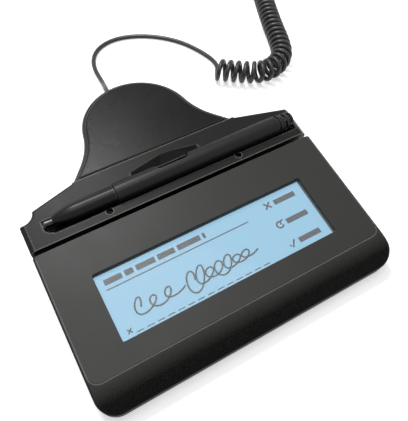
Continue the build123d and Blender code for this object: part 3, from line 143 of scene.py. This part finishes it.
ARROW_HEAD_SHARES = (0.25, 0.125)
ARROW_STEPS = 14
# Painted shade: a dark band on the display along its rear and right edges, where the recess walls lie in
# shade.
SHADE_BAND_INSIDE = (55.5, 32.3)
SHADE_BAND_OUTSIDE = (56.8, 33.6)
SHADE_BAND_FRONT = -1.0

# Patterns of the moulded plastics, scales per metre; also the painted top light on level faces and the
# painted highlights along edges
PATTERN_RANGE = (0.3, 0.7)
CLOUD_SCALE = 38.0
CLOUD_SHARES = (0.93, 1.07)
TOP_LIGHT_SHARES = (0.95, 1.05)
LEVEL_RANGE = (0.85, 0.985)
DUST_SCALE = 1450.0
DUST_RANGE = (0.70, 0.80)
DUST_SHARE = 0.35
DUST_PALENESS = 2.2
SPECKLE_RANGE = (0.45, 0.68)
SPECKLE_PALENESS = 2.6
EDGE_REACH = 0.0011
EDGE_RANGE = (0.86, 0.995)
SMEAR_SCALE = 85.0
SMEAR_SWING = 0.02
GRAIN_SCALE = 1900.0
GRAIN_DEPTH = 0.00004
SWELL_SCALE = 420.0

# Floor, backdrop and lamps
FLOOR_REACH = 3.0
FLOOR_ROUGHNESS = 0.9
FLOOR_PALE = (0.80, 0.80, 0.80)
FLOOR_BOUNCE = (0.12, 0.12, 0.12)
FLOOR_LIFT = 0.58
SKY_LEVEL = 0.10
WHITE = (1.0, 1.0, 1.0, 1.0)
KEY_LAMP = {"place": (-0.02, -0.02, 0.95), "size": 0.55, "power": 3.2}
REAR_LAMP = {"place": (-0.01, 0.39, 0.81), "size": 0.22, "power": 4.7}


def row_point(x, y, z):
    """A point given in the face frame, in the row frame and in metres."""
    tilt = radians(FACE_TILT)
    across = y * cos(tilt) - z * sin(tilt) + FACE_SHIFT
    up = FACE_HEIGHT + y * sin(tilt) + z * cos(tilt)
    return Vector((x, across, up)) * MM


# Camera


def make_camera():
    data = bpy.data.cameras.new("photo_camera")
    data.lens = CAMERA_LENS
    data.sensor_width = CAMERA_SENSOR
    data.clip_start, data.clip_end = CLIP_RANGE
    camera = bpy.data.objects.new("photo_camera", data)
    bpy.context.scene.collection.objects.link(camera)
    camera.location = Vector(CAMERA_PLACE) * MM
    camera.rotation_euler = (radians(90 - CAMERA_ELEVATION), 0, radians(CAMERA_AZIMUTH))
    bpy.context.scene.camera = camera


# Cord


def spline_curve(name, points):
    """A curve object of one open NURBS spline with these control points, in metres."""
    data = bpy.data.curves.new(name, "CURVE")
    data.dimensions = "3D"
    spline = data.splines.new("NURBS")
    spline.points.add(len(points) - 1)
    for place, point in zip(spline.points, points):
        place.co = (*point, 1.0)
    spline.order_u = SPLINE_ORDER
    spline.use_endpoint_u = True
    return bpy.data.objects.new(name, data)


def curve_mesh(curve):
    bpy.context.scene.collection.objects.link(curve)
    bpy.context.view_layer.update()
    return bpy.data.meshes.new_from_object(curve)


def line_points(points, detail):
    """Points along the smooth line that these control points give."""
    curve = spline_curve("route_line", points)
    curve.data.splines[0].resolution_u = detail
    mesh = curve_mesh(curve)
    found = [vertex.co.copy() for vertex in mesh.vertices]
    bpy.data.meshes.remove(mesh)
    bpy.data.objects.remove(curve)
    return found


def at_distance(line, distances, distance):
    """Point and direction on a line of points, at this distance from its start."""
    last = len(line) - 2
    index = 0
    while index < last and distances[index + 1] < distance:
        index += 1
    way = line[index + 1] - line[index]
    step = (distance - distances[index]) / way.length
    return line[index] + way * step, way.normalized()


def curl_points():
    """Points of the curly part, wound round its centre line."""
    line = line_points([Vector(point) * MM for point in CURL_CENTRES], CURL_LINE_DETAIL)
    distances = [0.0]
    for first, second in zip(line, line[1:]):
        distances.append(distances[-1] + (second - first).length)
    start, end = CURL_PITCH_SHARES
    total = CURL_COUNT * CURL_STEPS
    found = []
    for index in range(total + 1):
        share = index / total
        along = start * share + (end - start) * share * share / 2
        centre, way = at_distance(line, distances, along * distances[-1])
        side = Vector((way.y, -way.x, 0)).normalized()
        angle = radians(CURL_START) + 2 * pi * CURL_COUNT * share
        offset = side * cos(angle) + Vector((0, 0, 1)) * sin(angle)
        found.append(centre + offset * CURL_RADIUS * MM)
    return found


def coil_points():
    """Points of the put-away turns, wound inwards and then outwards on top."""
    way = Vector((*COIL_WAY, 0))
    left = Vector((-COIL_WAY[1], COIL_WAY[0], 0))
    centre = Vector((*COIL_CENTRE, 0))
    found = []
    for index in range((len(COIL_RADII) - 1) * COIL_STEPS + 1):
        half = min(index // COIL_STEPS, len(COIL_RADII) - 2)
        share = index / COIL_STEPS - half
        radius = COIL_RADII[half] * (1 - share) + COIL_RADII[half + 1] * share
        height = COIL_HEIGHTS[half] * (1 - share) + COIL_HEIGHTS[half + 1] * share
        angle = pi * index / COIL_STEPS
        flat = centre + (way * sin(angle) - left * cos(angle)) * radius
        found.append(Vector((flat.x, flat.y, height)) * MM)
    return found


def make_cord():
    points = [Vector(point) * MM for point in LEAD_POINTS]
    points += curl_points()
    points += [Vector(point) * MM for point in RUN_POINTS]
    points += coil_points()
    points += [Vector(point) * MM for point in END_POINTS]
    path = line_points(points, SPLINE_DETAIL)
    curve = spline_curve("cord_line", points)
    curve.data.splines[0].resolution_u = SPLINE_DETAIL
    curve.data.bevel_depth = CORD_DIAMETER / 2 * MM
    curve.data.bevel_resolution = CORD_ROUNDNESS
    curve.data.use_fill_caps = True
    cord = bpy.data.objects.new("curly_cord", curve_mesh(curve))
    bpy.data.objects.remove(curve)
    bpy.context.scene.collection.objects.link(cord)
    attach(cord, "pad")
    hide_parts("cord_lead", "cord_curl", "cord_run", "cord_coil", "cord_end")
    return cord


# Picture on the display


def looped_line(start, end, heights):
    """A running line of slanted loops whose heights change from loop to loop."""
    found = []
    total = (len(heights) - 1) * SCRIBBLE_STEPS
    for index in range(total + 1):
        loop = min(index // SCRIBBLE_STEPS, len(heights) - 2)
        share = index / SCRIBBLE_STEPS - loop
        height = heights[loop] * (1 - share) + heights[loop + 1] * share
        angle = 2 * pi * index / SCRIBBLE_STEPS
        rise = height * sin(angle)
        x = start + (end - start) * index / total + SCRIBBLE_SWING * cos(angle) + SCRIBBLE_SLANT * rise
        found.append(Vector((x, SCRIBBLE_LEVEL + rise)))
    return found


def ribbon(places, width):
    """Corners and faces of a flat stroke of this width along a line of places."""
    corners = []
    for index, place in enumerate(places):
        ahead = places[min(index + 1, len(places) - 1)] - places[max(index - 1, 0)]
        side = Vector((-ahead.y, ahead.x)).normalized() * width / 2
        corners += [place + side, place - side]
    faces = [(2 * i, 2 * i + 1, 2 * i + 3, 2 * i + 2) for i in range(len(places) - 1)]
    return corners, faces


def bar(x, y, length, height):
    return ribbon([Vector((x, y)), Vector((x + length, y))], height)


def heading_strokes():
    bars = [bar(x, HEADING_Y, length, HEADING_HEIGHT) for x, length in HEADING_WORDS]
    return [*bars, bar(RULE[0], RULE_Y, RULE[1] - RULE[0], RULE_WIDTH)]


def dash_strokes():
    starts = [DASH_START + DASH_PITCH * index for index in range(DASH_COUNT)]
    return [bar(x, DASH_Y, DASH_LENGTH, DASH_WIDTH) for x in starts]


def cross_strokes(x, y, reach, width):
    one = [Vector((x - reach, y - reach)), Vector((x + reach, y + reach))]
    other = [Vector((x - reach, y + reach)), Vector((x + reach, y - reach))]
    return [ribbon(one, width), ribbon(other, width)]


def arrow_strokes(x, y):
    """An open ring with an arrow head, the usual mark for starting again."""
    reach = KEY_MARK_REACH
    ring = []
    for step in range(ARROW_STEPS + 1):
        angle = radians(ARROW_START + ARROW_SWEEP * step / ARROW_STEPS)
        ring.append(Vector((x + reach * cos(angle), y + reach * sin(angle))))
    end = ring[0]
    rise, lean = (reach * share for share in ARROW_HEAD_SHARES)
    head = [end + Vector((reach, rise)), end, end + Vector((-lean, -reach))]
    return [ribbon(ring, KEY_MARK_WIDTH), ribbon(head, KEY_MARK_WIDTH)]


def check_strokes(x, y):
    reach = KEY_MARK_REACH
    turn = Vector((x - reach * CHECK_TURN_SHARE, y - reach))
    places = [Vector((x - reach, y)), turn, Vector((x + reach, y + reach))]
    return [ribbon(places, KEY_MARK_WIDTH)]


def key_strokes():
    top, middle, bottom = KEY_YS
    strokes = cross_strokes(KEY_MARK_X, top, KEY_MARK_REACH, KEY_MARK_WIDTH)
    strokes += arrow_strokes(KEY_MARK_X, middle)
    strokes += check_strokes(KEY_MARK_X, bottom)
    start, length = KEY_BAR
    return [*strokes, *(bar(start, y, length, KEY_BAR_HEIGHT) for y in KEY_YS)]


def make_picture():
    strokes = [ribbon(looped_line(*line), SCRIBBLE_WIDTH) for line in SCRIBBLES]
    strokes += heading_strokes()
    strokes += dash_strokes()
    strokes += cross_strokes(*MARK_PLACE, MARK_REACH, MARK_WIDTH)
    strokes += key_strokes()
    return display_piece("display_strokes", strokes)


def make_recess_shade():
    """Painted shade: a dark band on the display along its rear and right sides, where the recess walls
    lie in shade.
    """
    width = SHADE_BAND_OUTSIDE[0] - SHADE_BAND_INSIDE[0]
    depth = SHADE_BAND_OUTSIDE[1] - SHADE_BAND_INSIDE[1]
    middle = (SHADE_BAND_OUTSIDE[0] + SHADE_BAND_INSIDE[0]) / 2
    side = ribbon([Vector((middle, SHADE_BAND_FRONT)), Vector((middle, SHADE_BAND_INSIDE[1]))], width)
    rear_middle = (SHADE_BAND_OUTSIDE[1] + SHADE_BAND_INSIDE[1]) / 2
    rear = bar(-SHADE_BAND_OUTSIDE[0], rear_middle, 2 * SHADE_BAND_OUTSIDE[0], depth)
    return display_piece("painted_recess_shade", [side, rear])


def display_piece(name, strokes):
    """Flat strokes just above the display, as one piece that rides with the pad."""
    corners, faces = [], []
    for places, quads in strokes:
        first = len(corners)
        corners += [row_point(place.x, place.y, INK_LEVEL) for place in places]
        faces += [tuple(first + index for index in quad) for quad in quads]
    mesh = bpy.data.meshes.new(name)
    mesh.from_pydata(corners, [], faces)
    piece = bpy.data.objects.new(name, mesh)
    bpy.context.scene.collection.objects.link(piece)
    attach(piece, "pad")
    return piece


# Materials


class Surface:
    """A node material with one Principled shader, and short ways to add patterns to it."""

    def __init__(self, name):
        self.material = bpy.data.materials.new(name)
        self.material.use_nodes = True
        self.tree = self.material.node_tree
        self.shader = self.tree.nodes["Principled BSDF"]
        self.place = self.tree.nodes.new("ShaderNodeTexCoord").outputs["Object"]

    def link(self, output, socket):
        self.tree.links.new(output, socket)

    def set(self, **values):
        for name, value in values.items():
            self.shader.inputs[name.replace("_", " ")].default_value = value

    def noise(self, scale, detail=3.0, stretch=None):
        node = self.tree.nodes.new("ShaderNodeTexNoise")
        node.inputs["Scale"].default_value = scale
        node.inputs["Detail"].default_value = detail
        place = self.place
        if stretch:
            mapping = self.tree.nodes.new("ShaderNodeMapping")
            mapping.inputs["Scale"].default_value = stretch
            self.link(place, mapping.inputs["Vector"])
            place = mapping.outputs["Vector"]
        self.link(place, node.inputs["Vector"])
        return node.outputs["Fac"]

    def bands(self, direction, scale):
        """Even bands that follow each other in one direction."""
        node = self.tree.nodes.new("ShaderNodeTexWave")
        node.bands_direction = direction
        node.inputs["Scale"].default_value = scale
        self.link(self.place, node.inputs["Vector"])
        return node.outputs["Fac"]

    def ranged(self, value, low, high, source=PATTERN_RANGE):
        """From low to high as value crosses the source range."""
        node = self.tree.nodes.new("ShaderNodeMapRange")
        node.inputs["From Min"].default_value = source[0]
        node.inputs["From Max"].default_value = source[1]
        node.inputs["To Min"].default_value = low
        node.inputs["To Max"].default_value = high
        self.link(value, node.inputs["Value"])
        return node.outputs["Result"]

    def share(self, value, source=PATTERN_RANGE):
        return self.ranged(value, 0.0, 1.0, source)

    def mixed(self, share, first, second):
        """Colour that goes from first to second as share goes from 0 to 1."""
        node = self.tree.nodes.new("ShaderNodeMix")
        node.data_type = "RGBA"
        self.link(share, node.inputs["Factor"])
        for socket, value in ((node.inputs["A"], first), (node.inputs["B"], second)):
            if isinstance(value, tuple):
                socket.default_value = (*value, 1.0)
            else:
                self.link(value, socket)
        return node.outputs["Result"]

    def edges(self, reach):
        """1 along the edges of a piece and 0 on its flats."""
        bevel = self.tree.nodes.new("ShaderNodeBevel")
        bevel.inputs["Radius"].default_value = reach
        shape = self.tree.nodes.new("ShaderNodeNewGeometry")
        dot = self.tree.nodes.new("ShaderNodeVectorMath")
        dot.operation = "DOT_PRODUCT"
        self.link(bevel.outputs["Normal"], dot.inputs[0])
        self.link(shape.outputs["Normal"], dot.inputs[1])
        return self.ranged(dot.outputs["Value"], 1.0, 0.0, EDGE_RANGE)

    def level(self):
        """0 on steep faces and 1 on those that lie nearly level."""
        parts = self.tree.nodes.new("ShaderNodeSeparateXYZ")
        shape = self.tree.nodes.new("ShaderNodeTexCoord")
        self.link(shape.outputs["Normal"], parts.inputs["Vector"])
        return self.share(parts.outputs["Z"], LEVEL_RANGE)

    def bumps(self, *layers):
        """Relief from several patterns, each with its depth in metres."""
        normal = None
        for value, depth in layers:
            node = self.tree.nodes.new("ShaderNodeBump")
            node.inputs["Distance"].default_value = depth
            self.link(value, node.inputs["Height"])
            if normal:
                self.link(normal, node.inputs["Normal"])
            normal = node.outputs["Normal"]
        self.link(normal, self.shader.inputs["Normal"])

    def colour(self, value):
        self.link(value, self.shader.inputs["Base Color"])

    def roughness(self, value):
        self.link(value, self.shader.inputs["Roughness"])


def scaled(colour, share):
    return tuple(channel * share for channel in colour)


def spread(colour, shares):
    """The darker and the paler end of a colour that varies."""
    return [scaled(colour, share) for share in shares]


def moulded(name, colour, rough, depth=GRAIN_DEPTH, shine=0.5, edge_wear_and_highlight=1.6, painted_top_light=None, speckle=None):
    """Moulded plastic: fine grain, slight clouding and dust specks, with painted highlights along the
    edges and, when given, level faces painted lighter as painted top light.
    """
    surface = Surface(name)
    cloud = surface.share(surface.noise(CLOUD_SCALE))
    base = surface.mixed(cloud, *spread(colour, CLOUD_SHARES))
    # Painted light: level faces take the paler painted top light colour, as if lit from above, while
    # steep faces such as the front nose keep the dark base.
    if painted_top_light:
        top_lit = surface.mixed(cloud, *spread(painted_top_light, TOP_LIGHT_SHARES))
        base = surface.mixed(surface.level(), base, top_lit)
    dust = surface.ranged(surface.noise(DUST_SCALE, detail=1.0), 0.0, DUST_SHARE, DUST_RANGE)
    base = surface.mixed(dust, base, scaled(colour, DUST_PALENESS))
    if speckle:
        specks = surface.ranged(surface.noise(GRAIN_SCALE, detail=1.0), 0.0, speckle, SPECKLE_RANGE)
        base = surface.mixed(specks, base, scaled(painted_top_light or colour, SPECKLE_PALENESS))
    # Painted highlight: the edges are paled by this factor, standing in for lamp light caught on rounded
    # edges; small factors read as plain wear.
    worn_and_highlit_edges = surface.edges(EDGE_REACH)
    surface.colour(surface.mixed(worn_and_highlit_edges, base, scaled(colour, edge_wear_and_highlight)))
    smears = surface.noise(SMEAR_SCALE)
    surface.roughness(surface.ranged(smears, rough - SMEAR_SWING, rough + SMEAR_SWING))
    grain = surface.noise(GRAIN_SCALE, detail=2.0)
    swell = surface.noise(SWELL_SCALE, detail=2.0)
    surface.bumps((grain, depth), (swell, depth / 2))
    surface.set(Specular_IOR_Level=shine)
    return surface.material


def housing_plastic():
    # Painted light: level faces painted much lighter than the dark base, and edges painted with strong
    # highlights.
    return moulded(
        "housing_plastic",
        colour=(0.0048, 0.0050, 0.0047),
        rough=0.44,
        shine=0.04,
        edge_wear_and_highlight=55.0,
        painted_top_light=(0.042, 0.0435, 0.040),
        speckle=0.11,
    )


def guard_plastic():
    # Painted light: level faces painted much lighter than the dark base, and edges painted with strong
    # highlights.
    return moulded(
        "guard_plastic",
        colour=(0.0034, 0.0036, 0.0033),
        rough=0.33,
        shine=0.085,
        edge_wear_and_highlight=60.0,
        painted_top_light=(0.0165, 0.0172, 0.0158),
        speckle=0.14,
    )


def cover_plastic():
    # Painted highlight: strong light painted along the edges.
    return moulded(
        "cover_plastic",
        colour=(0.0022, 0.0024, 0.0021),
        rough=0.28,
        depth=0.00006,
        shine=0.14,
        edge_wear_and_highlight=160.0,
        speckle=0.6,
    )


def overlay_film():
    """Printed film with a fine even texture."""
    colour = (0.036, 0.0372, 0.0345)
    cloud_scale = 22.0
    cloud_shares = (0.95, 1.05)
    lint_scale = 900.0
    lint_stretch = (1.0, 0.3, 1.0)
    lint_share = 0.2
    lint_range = (0.78, 0.86)
    lint_paleness = 1.8
    touch_scale = 60.0
    touch_detail = 6.0
    roughness_range = (0.36, 0.44)
    grain_scale = 3400.0
    grain_depth = 0.000012
    surface = Surface("overlay_film")
    cloud = surface.share(surface.noise(cloud_scale))
    base = surface.mixed(cloud, *spread(colour, cloud_shares))
    streaks = surface.noise(lint_scale, detail=0.0, stretch=lint_stretch)
    lint = surface.ranged(streaks, 0.0, lint_share, lint_range)
    surface.colour(surface.mixed(lint, base, scaled(colour, lint_paleness)))
    surface.roughness(surface.ranged(surface.noise(touch_scale, touch_detail), *roughness_range))
    surface.bumps((surface.noise(grain_scale, detail=1.0), grain_depth))
    surface.set(Specular_IOR_Level=0.18)
    return surface.material


def window_sheet():
    """Clear hard window, faintly smeared."""
    smear_scale = 70.0
    smear_detail = 5.0
    smear_stretch = (1.0, 2.2, 1.0)
    roughness_range = (0.04, 0.14)
    surface = Surface("window_sheet")
    smears = surface.noise(smear_scale, smear_detail, smear_stretch)
    surface.roughness(surface.ranged(smears, *roughness_range))
    surface.set(Base_Color=(0.90, 0.94, 0.96, 1.0), Alpha=0.10, Specular_IOR_Level=0.5)
    return surface.material


def display_cell():
    """Lit pale blue display with a faint grid of picture dots."""
    dot_scale = 700.0
    grid_range = (0.0, 0.25)
    cloud_scale = 14.0
    pale_colours = ((0.158, 0.331, 0.462), (0.167, 0.347, 0.482))
    grid_colour = (0.147, 0.311, 0.437)
    unlit_colours = ((0.022, 0.046, 0.065), (0.024, 0.051, 0.071))
    surface = Surface("display_cell")
    dots = surface.tree.nodes.new("ShaderNodeMath")
    dots.operation = "MINIMUM"
    surface.link(surface.bands("X", dot_scale), dots.inputs[0])
    surface.link(surface.bands("Y", dot_scale), dots.inputs[1])
    grid = surface.share(dots.outputs["Value"], grid_range)
    pale = surface.mixed(surface.share(surface.noise(cloud_scale)), *pale_colours)
    glow = surface.mixed(grid, grid_colour, pale)
    surface.colour(surface.mixed(grid, *unlit_colours))
    surface.link(glow, surface.shader.inputs["Emission Color"])
    surface.set(Emission_Strength=1.50, Roughness=0.35, Specular_IOR_Level=0.2)
    return surface.material


def clouded(name, scale, colours, detail=3.0, source=PATTERN_RANGE):
    """A surface whose colour varies between two tones."""
    surface = Surface(name)
    surface.colour(surface.mixed(surface.share(surface.noise(scale, detail), source), *colours))
    return surface


def uneven_gloss(surface, scale, low, high, detail=3.0):
    surface.roughness(surface.ranged(surface.noise(scale, detail), low, high))


def display_ink():
    """Dark picture elements, slightly uneven as on a real panel."""
    tones = ((0.018, 0.025, 0.032), (0.032, 0.040, 0.050))
    surface = clouded("display_ink", scale=900.0, colours=tones, detail=1.0)
    uneven_gloss(surface, scale=300.0, low=0.35, high=0.5)
    surface.set(Specular_IOR_Level=0.2)
    return surface.material


def recess_shade_paint():
    """Near-black colour of the painted shade band along the recess walls."""
    tones = ((0.002, 0.002, 0.002), (0.004, 0.004, 0.004))
    surface = clouded("recess_shade_paint", scale=200.0, colours=tones)
    uneven_gloss(surface, scale=300.0, low=0.5, high=0.6)
    surface.set(Specular_IOR_Level=0.05)
    return surface.material


def dull_steel(name, tint, rough, way):
    """Sheet steel with fine brushing along one direction."""
    brush_scale = 900.0
    brush_shares = (0.86, 1.0)
    brush_depth = 0.000006
    smear_scale = 120.0
    smear_swing = 0.07
    surface = Surface(name)
    lines = surface.noise(brush_scale, stretch=way)
    surface.colour(surface.mixed(surface.share(lines), *spread(tint, brush_shares)))
    uneven_gloss(surface, smear_scale, rough - smear_swing, rough + smear_swing, detail=4.0)
    surface.bumps((lines, brush_depth))
    surface.set(Metallic=1.0)
    return surface.material


def bezel_steel():
    return dull_steel("bezel_steel", tint=(0.010, 0.010, 0.011), rough=0.55, way=(0.1, 1.0, 1.0))


def screw_steel():
    return dull_steel("screw_steel", tint=(0.42, 0.42, 0.43), rough=0.34, way=(1.0, 1.0, 0.2))


def link_steel():
    return dull_steel("link_steel", tint=(0.30, 0.30, 0.31), rough=0.40, way=(1.0, 0.08, 1.0))


def plug_steel():
    return dull_steel("plug_steel", tint=(0.62, 0.62, 0.63), rough=0.24, way=(0.15, 1.0, 1.0))


def backlight_sheet():
    """White light-spreading sheet."""
    tones = ((0.74, 0.76, 0.76), (0.82, 0.83, 0.82))
    surface = clouded("backlight_sheet", scale=40.0, colours=tones)
    uneven_gloss(surface, scale=300.0, low=0.30, high=0.42)
    return surface.material


def ribbon_film():
    """Amber film with fine parallel tracks."""
    track_scale = 320.0
    track_range = (0.45, 0.55)
    track_depth = 0.00001
    tones = ((0.35, 0.15, 0.03), (0.50, 0.24, 0.06))
    surface = Surface("ribbon_film")
    tracks = surface.bands("X", track_scale)
    surface.colour(surface.mixed(surface.share(tracks, track_range), *tones))
    uneven_gloss(surface, scale=200.0, low=0.28, high=0.40)
    surface.bumps((tracks, track_depth))
    return surface.material


def board_laminate():
    """Green circuit board with tracks under its lacquer."""
    track_scale = 210.0
    track_range = (0.38, 0.46)
    track_depth = 0.00002
    tones = ((0.010, 0.085, 0.030), (0.020, 0.140, 0.055))
    surface = Surface("board_laminate")
    cells = surface.tree.nodes.new("ShaderNodeTexVoronoi")
    cells.distance = "MANHATTAN"
    cells.inputs["Scale"].default_value = track_scale
    surface.link(surface.place, cells.inputs["Vector"])
    tracks = surface.share(cells.outputs["Distance"], track_range)
    surface.colour(surface.mixed(tracks, *tones))
    uneven_gloss(surface, scale=160.0, low=0.30, high=0.42)
    surface.bumps((tracks, track_depth))
    return surface.material


def chip_epoxy():
    return moulded("chip_epoxy", colour=(0.022, 0.022, 0.023), rough=0.48, shine=0.4)


def component_bodies():
    """Small board parts in tan and grey."""
    tones = ((0.30, 0.26, 0.20), (0.45, 0.42, 0.38))
    surface = clouded("component_bodies", scale=160.0, colours=tones, detail=0.0, source=(0.45, 0.55))
    uneven_gloss(surface, scale=400.0, low=0.35, high=0.5)
    surface.set(Metallic=0.3)
    return surface.material


def connector_plastic():
    return moulded("connector_plastic", colour=(0.62, 0.60, 0.54), rough=0.42, edge_wear_and_highlight=1.05)


def rubber(name, colour, rough):
    """Soft rubber: dull, with a powdery bloom and small pits."""
    bloom_scale = 110.0
    bloom_shares = (1.0, 1.5)
    smear_scale = 240.0
    smear_swing = 0.06
    pit_scale = 1800.0
    pit_depth = 0.00003
    tones = spread(colour, bloom_shares)
    surface = clouded(name, bloom_scale, tones, detail=5.0)
    uneven_gloss(surface, smear_scale, rough - smear_swing, rough + smear_swing)
    surface.bumps((surface.noise(pit_scale, detail=2.0), pit_depth))
    surface.set(Specular_IOR_Level=0.3)
    return surface.material


def feet_rubber():
    return rubber("feet_rubber_look", colour=(0.024, 0.024, 0.025), rough=0.72)


def gland_rubber():
    return rubber("gland_rubber_look", colour=(0.014, 0.014, 0.015), rough=0.58)


def cord_jacket():
    """Smooth black jacket with a low gloss and faint handling marks."""
    tones = ((0.010, 0.010, 0.011), (0.018, 0.018, 0.019))
    grain_scale = 1500.0
    grain_depth = 0.000012
    surface = clouded("cord_jacket", scale=140.0, colours=tones, detail=4.0)
    uneven_gloss(surface, scale=300.0, low=0.28, high=0.40)
    surface.bumps((surface.noise(grain_scale, detail=2.0), grain_depth))
    surface.set(Specular_IOR_Level=0.5)
    return surface.material


def tie_strap():
    return moulded("tie_strap", colour=(0.018, 0.018, 0.019), rough=0.45, shine=0.45)


def overmould_plastic():
    return moulded("overmould_plastic", colour=(0.016, 0.016, 0.017), rough=0.42, shine=0.45)


def plug_plastic():
    return moulded("plug_plastic", colour=(0.55, 0.56, 0.56), rough=0.40, edge_wear_and_highlight=1.05)


def nib_plastic():
    return moulded(
        "nib_plastic",
        colour=(0.024, 0.024, 0.025),
        rough=0.24,
        depth=0.000006,
        shine=0.8,
    )


def grip_plastic():
    return moulded(
        "grip_plastic",
        colour=(0.0070, 0.0072, 0.0072),
        rough=0.30,
        depth=0.000008,
        shine=0.18,
        edge_wear_and_highlight=7.0,
    )


def barrel_plastic():
    return moulded(
        "barrel_plastic",
        colour=(0.0070, 0.0072, 0.0069),
        rough=0.36,
        depth=0.000020,
        shine=0.22,
        edge_wear_and_highlight=6.0,
        speckle=0.4,
    )


def boot_plastic():
    return moulded(
        "boot_plastic",
        colour=(0.0110, 0.0114, 0.0110),
        rough=0.40,
        depth=0.000010,
        shine=0.20,
        edge_wear_and_highlight=8.0,
    )


def ferrite_ceramic():
    return moulded("ferrite_ceramic", colour=(0.030, 0.028, 0.028), rough=0.62, shine=0.4)


def coil_copper():
    """Bare copper wire, wound in close turns."""
    turn_scale = 900.0
    turn_depth = 0.00003
    tones = ((0.42, 0.16, 0.06), (0.78, 0.36, 0.18))
    surface = Surface("coil_copper")
    turns = surface.bands("X", turn_scale)
    surface.colour(surface.mixed(turns, *tones))
    uneven_gloss(surface, scale=200.0, low=0.22, high=0.34)
    surface.bumps((turns, turn_depth))
    surface.set(Metallic=1.0)
    return surface.material


LOOKS = {
    "housing": housing_plastic,
    "guard": guard_plastic,
    "cover": cover_plastic,
    "overlay": overlay_film,
    "window": window_sheet,
    "bezel_steel": bezel_steel,
    "display": display_cell,
    "backlight": backlight_sheet,
    "ribbon": ribbon_film,
    "board": board_laminate,
    "steel": screw_steel,
    "link_steel": link_steel,
    "chip": chip_epoxy,
    "components": component_bodies,
    "connector": connector_plastic,
    "feet_rubber": feet_rubber,
    "gland_rubber": gland_rubber,
    "cord": cord_jacket,
    "tie": tie_strap,
    "overmould": overmould_plastic,
    "plug_steel": plug_steel,
    "plug_plastic": plug_plastic,
    "nib": nib_plastic,
    "pen_grip": grip_plastic,
    "pen_barrel": barrel_plastic,
    "pen_boot": boot_plastic,
    "ferrite": ferrite_ceramic,
    "copper": coil_copper,
}


NODE_LOOKS = {"pen_tray": "guard"}


def dress_nodes():
    """Gives every CAD node its own look or else the look of its slot."""
    made = {name: look() for name, look in LOOKS.items()}
    for name, node in NODES.items():
        for place in node.material_slots:
            place.material = made[NODE_LOOKS.get(name, place.material.name)]
    return made


# Floor, world and lamps


def white_rays(tree):
    """1 for rays that show the background itself: seen, mirrored or through glass."""
    path = tree.nodes.new("ShaderNodeLightPath")
    total = path.outputs["Is Camera Ray"]
    for name in ("Is Glossy Ray", "Is Transmission Ray"):
        larger = tree.nodes.new("ShaderNodeMath")
        larger.operation = "MAXIMUM"
        tree.links.new(total, larger.inputs[0])
        tree.links.new(path.outputs[name], larger.inputs[1])
        total = larger.outputs["Value"]
    return total


def make_world():
    world = bpy.data.worlds.new("studio_world")
    bpy.context.scene.world = world
    world.use_nodes = True
    tree = world.node_tree
    lit = tree.nodes["Background"]
    lit.inputs["Color"].default_value = WHITE
    lit.inputs["Strength"].default_value = SKY_LEVEL
    seen = tree.nodes.new("ShaderNodeBackground")
    seen.inputs["Color"].default_value = WHITE
    mix = tree.nodes.new("ShaderNodeMixShader")
    tree.links.new(white_rays(tree), mix.inputs["Fac"])
    tree.links.new(lit.outputs["Background"], mix.inputs[1])
    tree.links.new(seen.outputs["Background"], mix.inputs[2])
    tree.links.new(mix.outputs["Shader"], tree.nodes["World Output"].inputs["Surface"])


def make_floor():
    reach = FLOOR_REACH
    mesh = bpy.data.meshes.new("studio_floor")
    corners = [(-reach, -reach, 0), (reach, -reach, 0), (reach, reach, 0), (-reach, reach, 0)]
    mesh.from_pydata(corners, [], [(0, 1, 2, 3)])
    floor = bpy.data.objects.new("studio_floor", mesh)
    bpy.context.scene.collection.objects.link(floor)
    material = bpy.data.materials.new("studio_floor")
    material.use_nodes = True
    tree = material.node_tree
    shader = tree.nodes["Principled BSDF"]
    seen = white_rays(tree)
    tint = tree.nodes.new("ShaderNodeMix")
    tint.data_type = "RGBA"
    tint.inputs["A"].default_value = (*FLOOR_BOUNCE, 1.0)
    tint.inputs["B"].default_value = (*FLOOR_PALE, 1.0)
    tree.links.new(seen, tint.inputs["Factor"])
    tree.links.new(tint.outputs["Result"], shader.inputs["Base Color"])
    shader.inputs["Roughness"].default_value = FLOOR_ROUGHNESS
    shader.inputs["Specular IOR Level"].default_value = 0.0
    lift = tree.nodes.new("ShaderNodeMath")
    lift.operation = "MULTIPLY"
    lift.inputs[1].default_value = FLOOR_LIFT
    tree.links.new(seen, lift.inputs[0])
    shader.inputs["Emission Color"].default_value = WHITE
    tree.links.new(lift.outputs["Value"], shader.inputs["Emission Strength"])
    mesh.materials.append(material)


def area_lamp(name, place, size, power):
    """A soft square lamp that points at the object."""
    data = bpy.data.lights.new(name, "AREA")
    data.size = size
    data.energy = power
    lamp = bpy.data.objects.new(name, data)
    bpy.context.scene.collection.objects.link(lamp)
    lamp.location = place
    lamp.rotation_euler = (-Vector(place)).to_track_quat("-Z", "Y").to_euler()


def make_lamps():
    area_lamp("key_lamp", **KEY_LAMP)
    area_lamp("rear_lamp", **REAR_LAMP)


make_camera()
cord = make_cord()
picture = make_picture()
recess_shade = make_recess_shade()
looks = dress_nodes()
cord.data.materials.append(looks["cord"])
picture.data.materials.append(display_ink())
recess_shade.data.materials.append(recess_shade_paint())
make_floor()
make_world()
make_lamps()
bpy.context.scene.view_settings.view_transform = "Standard"
bpy.context.view_layer.update()
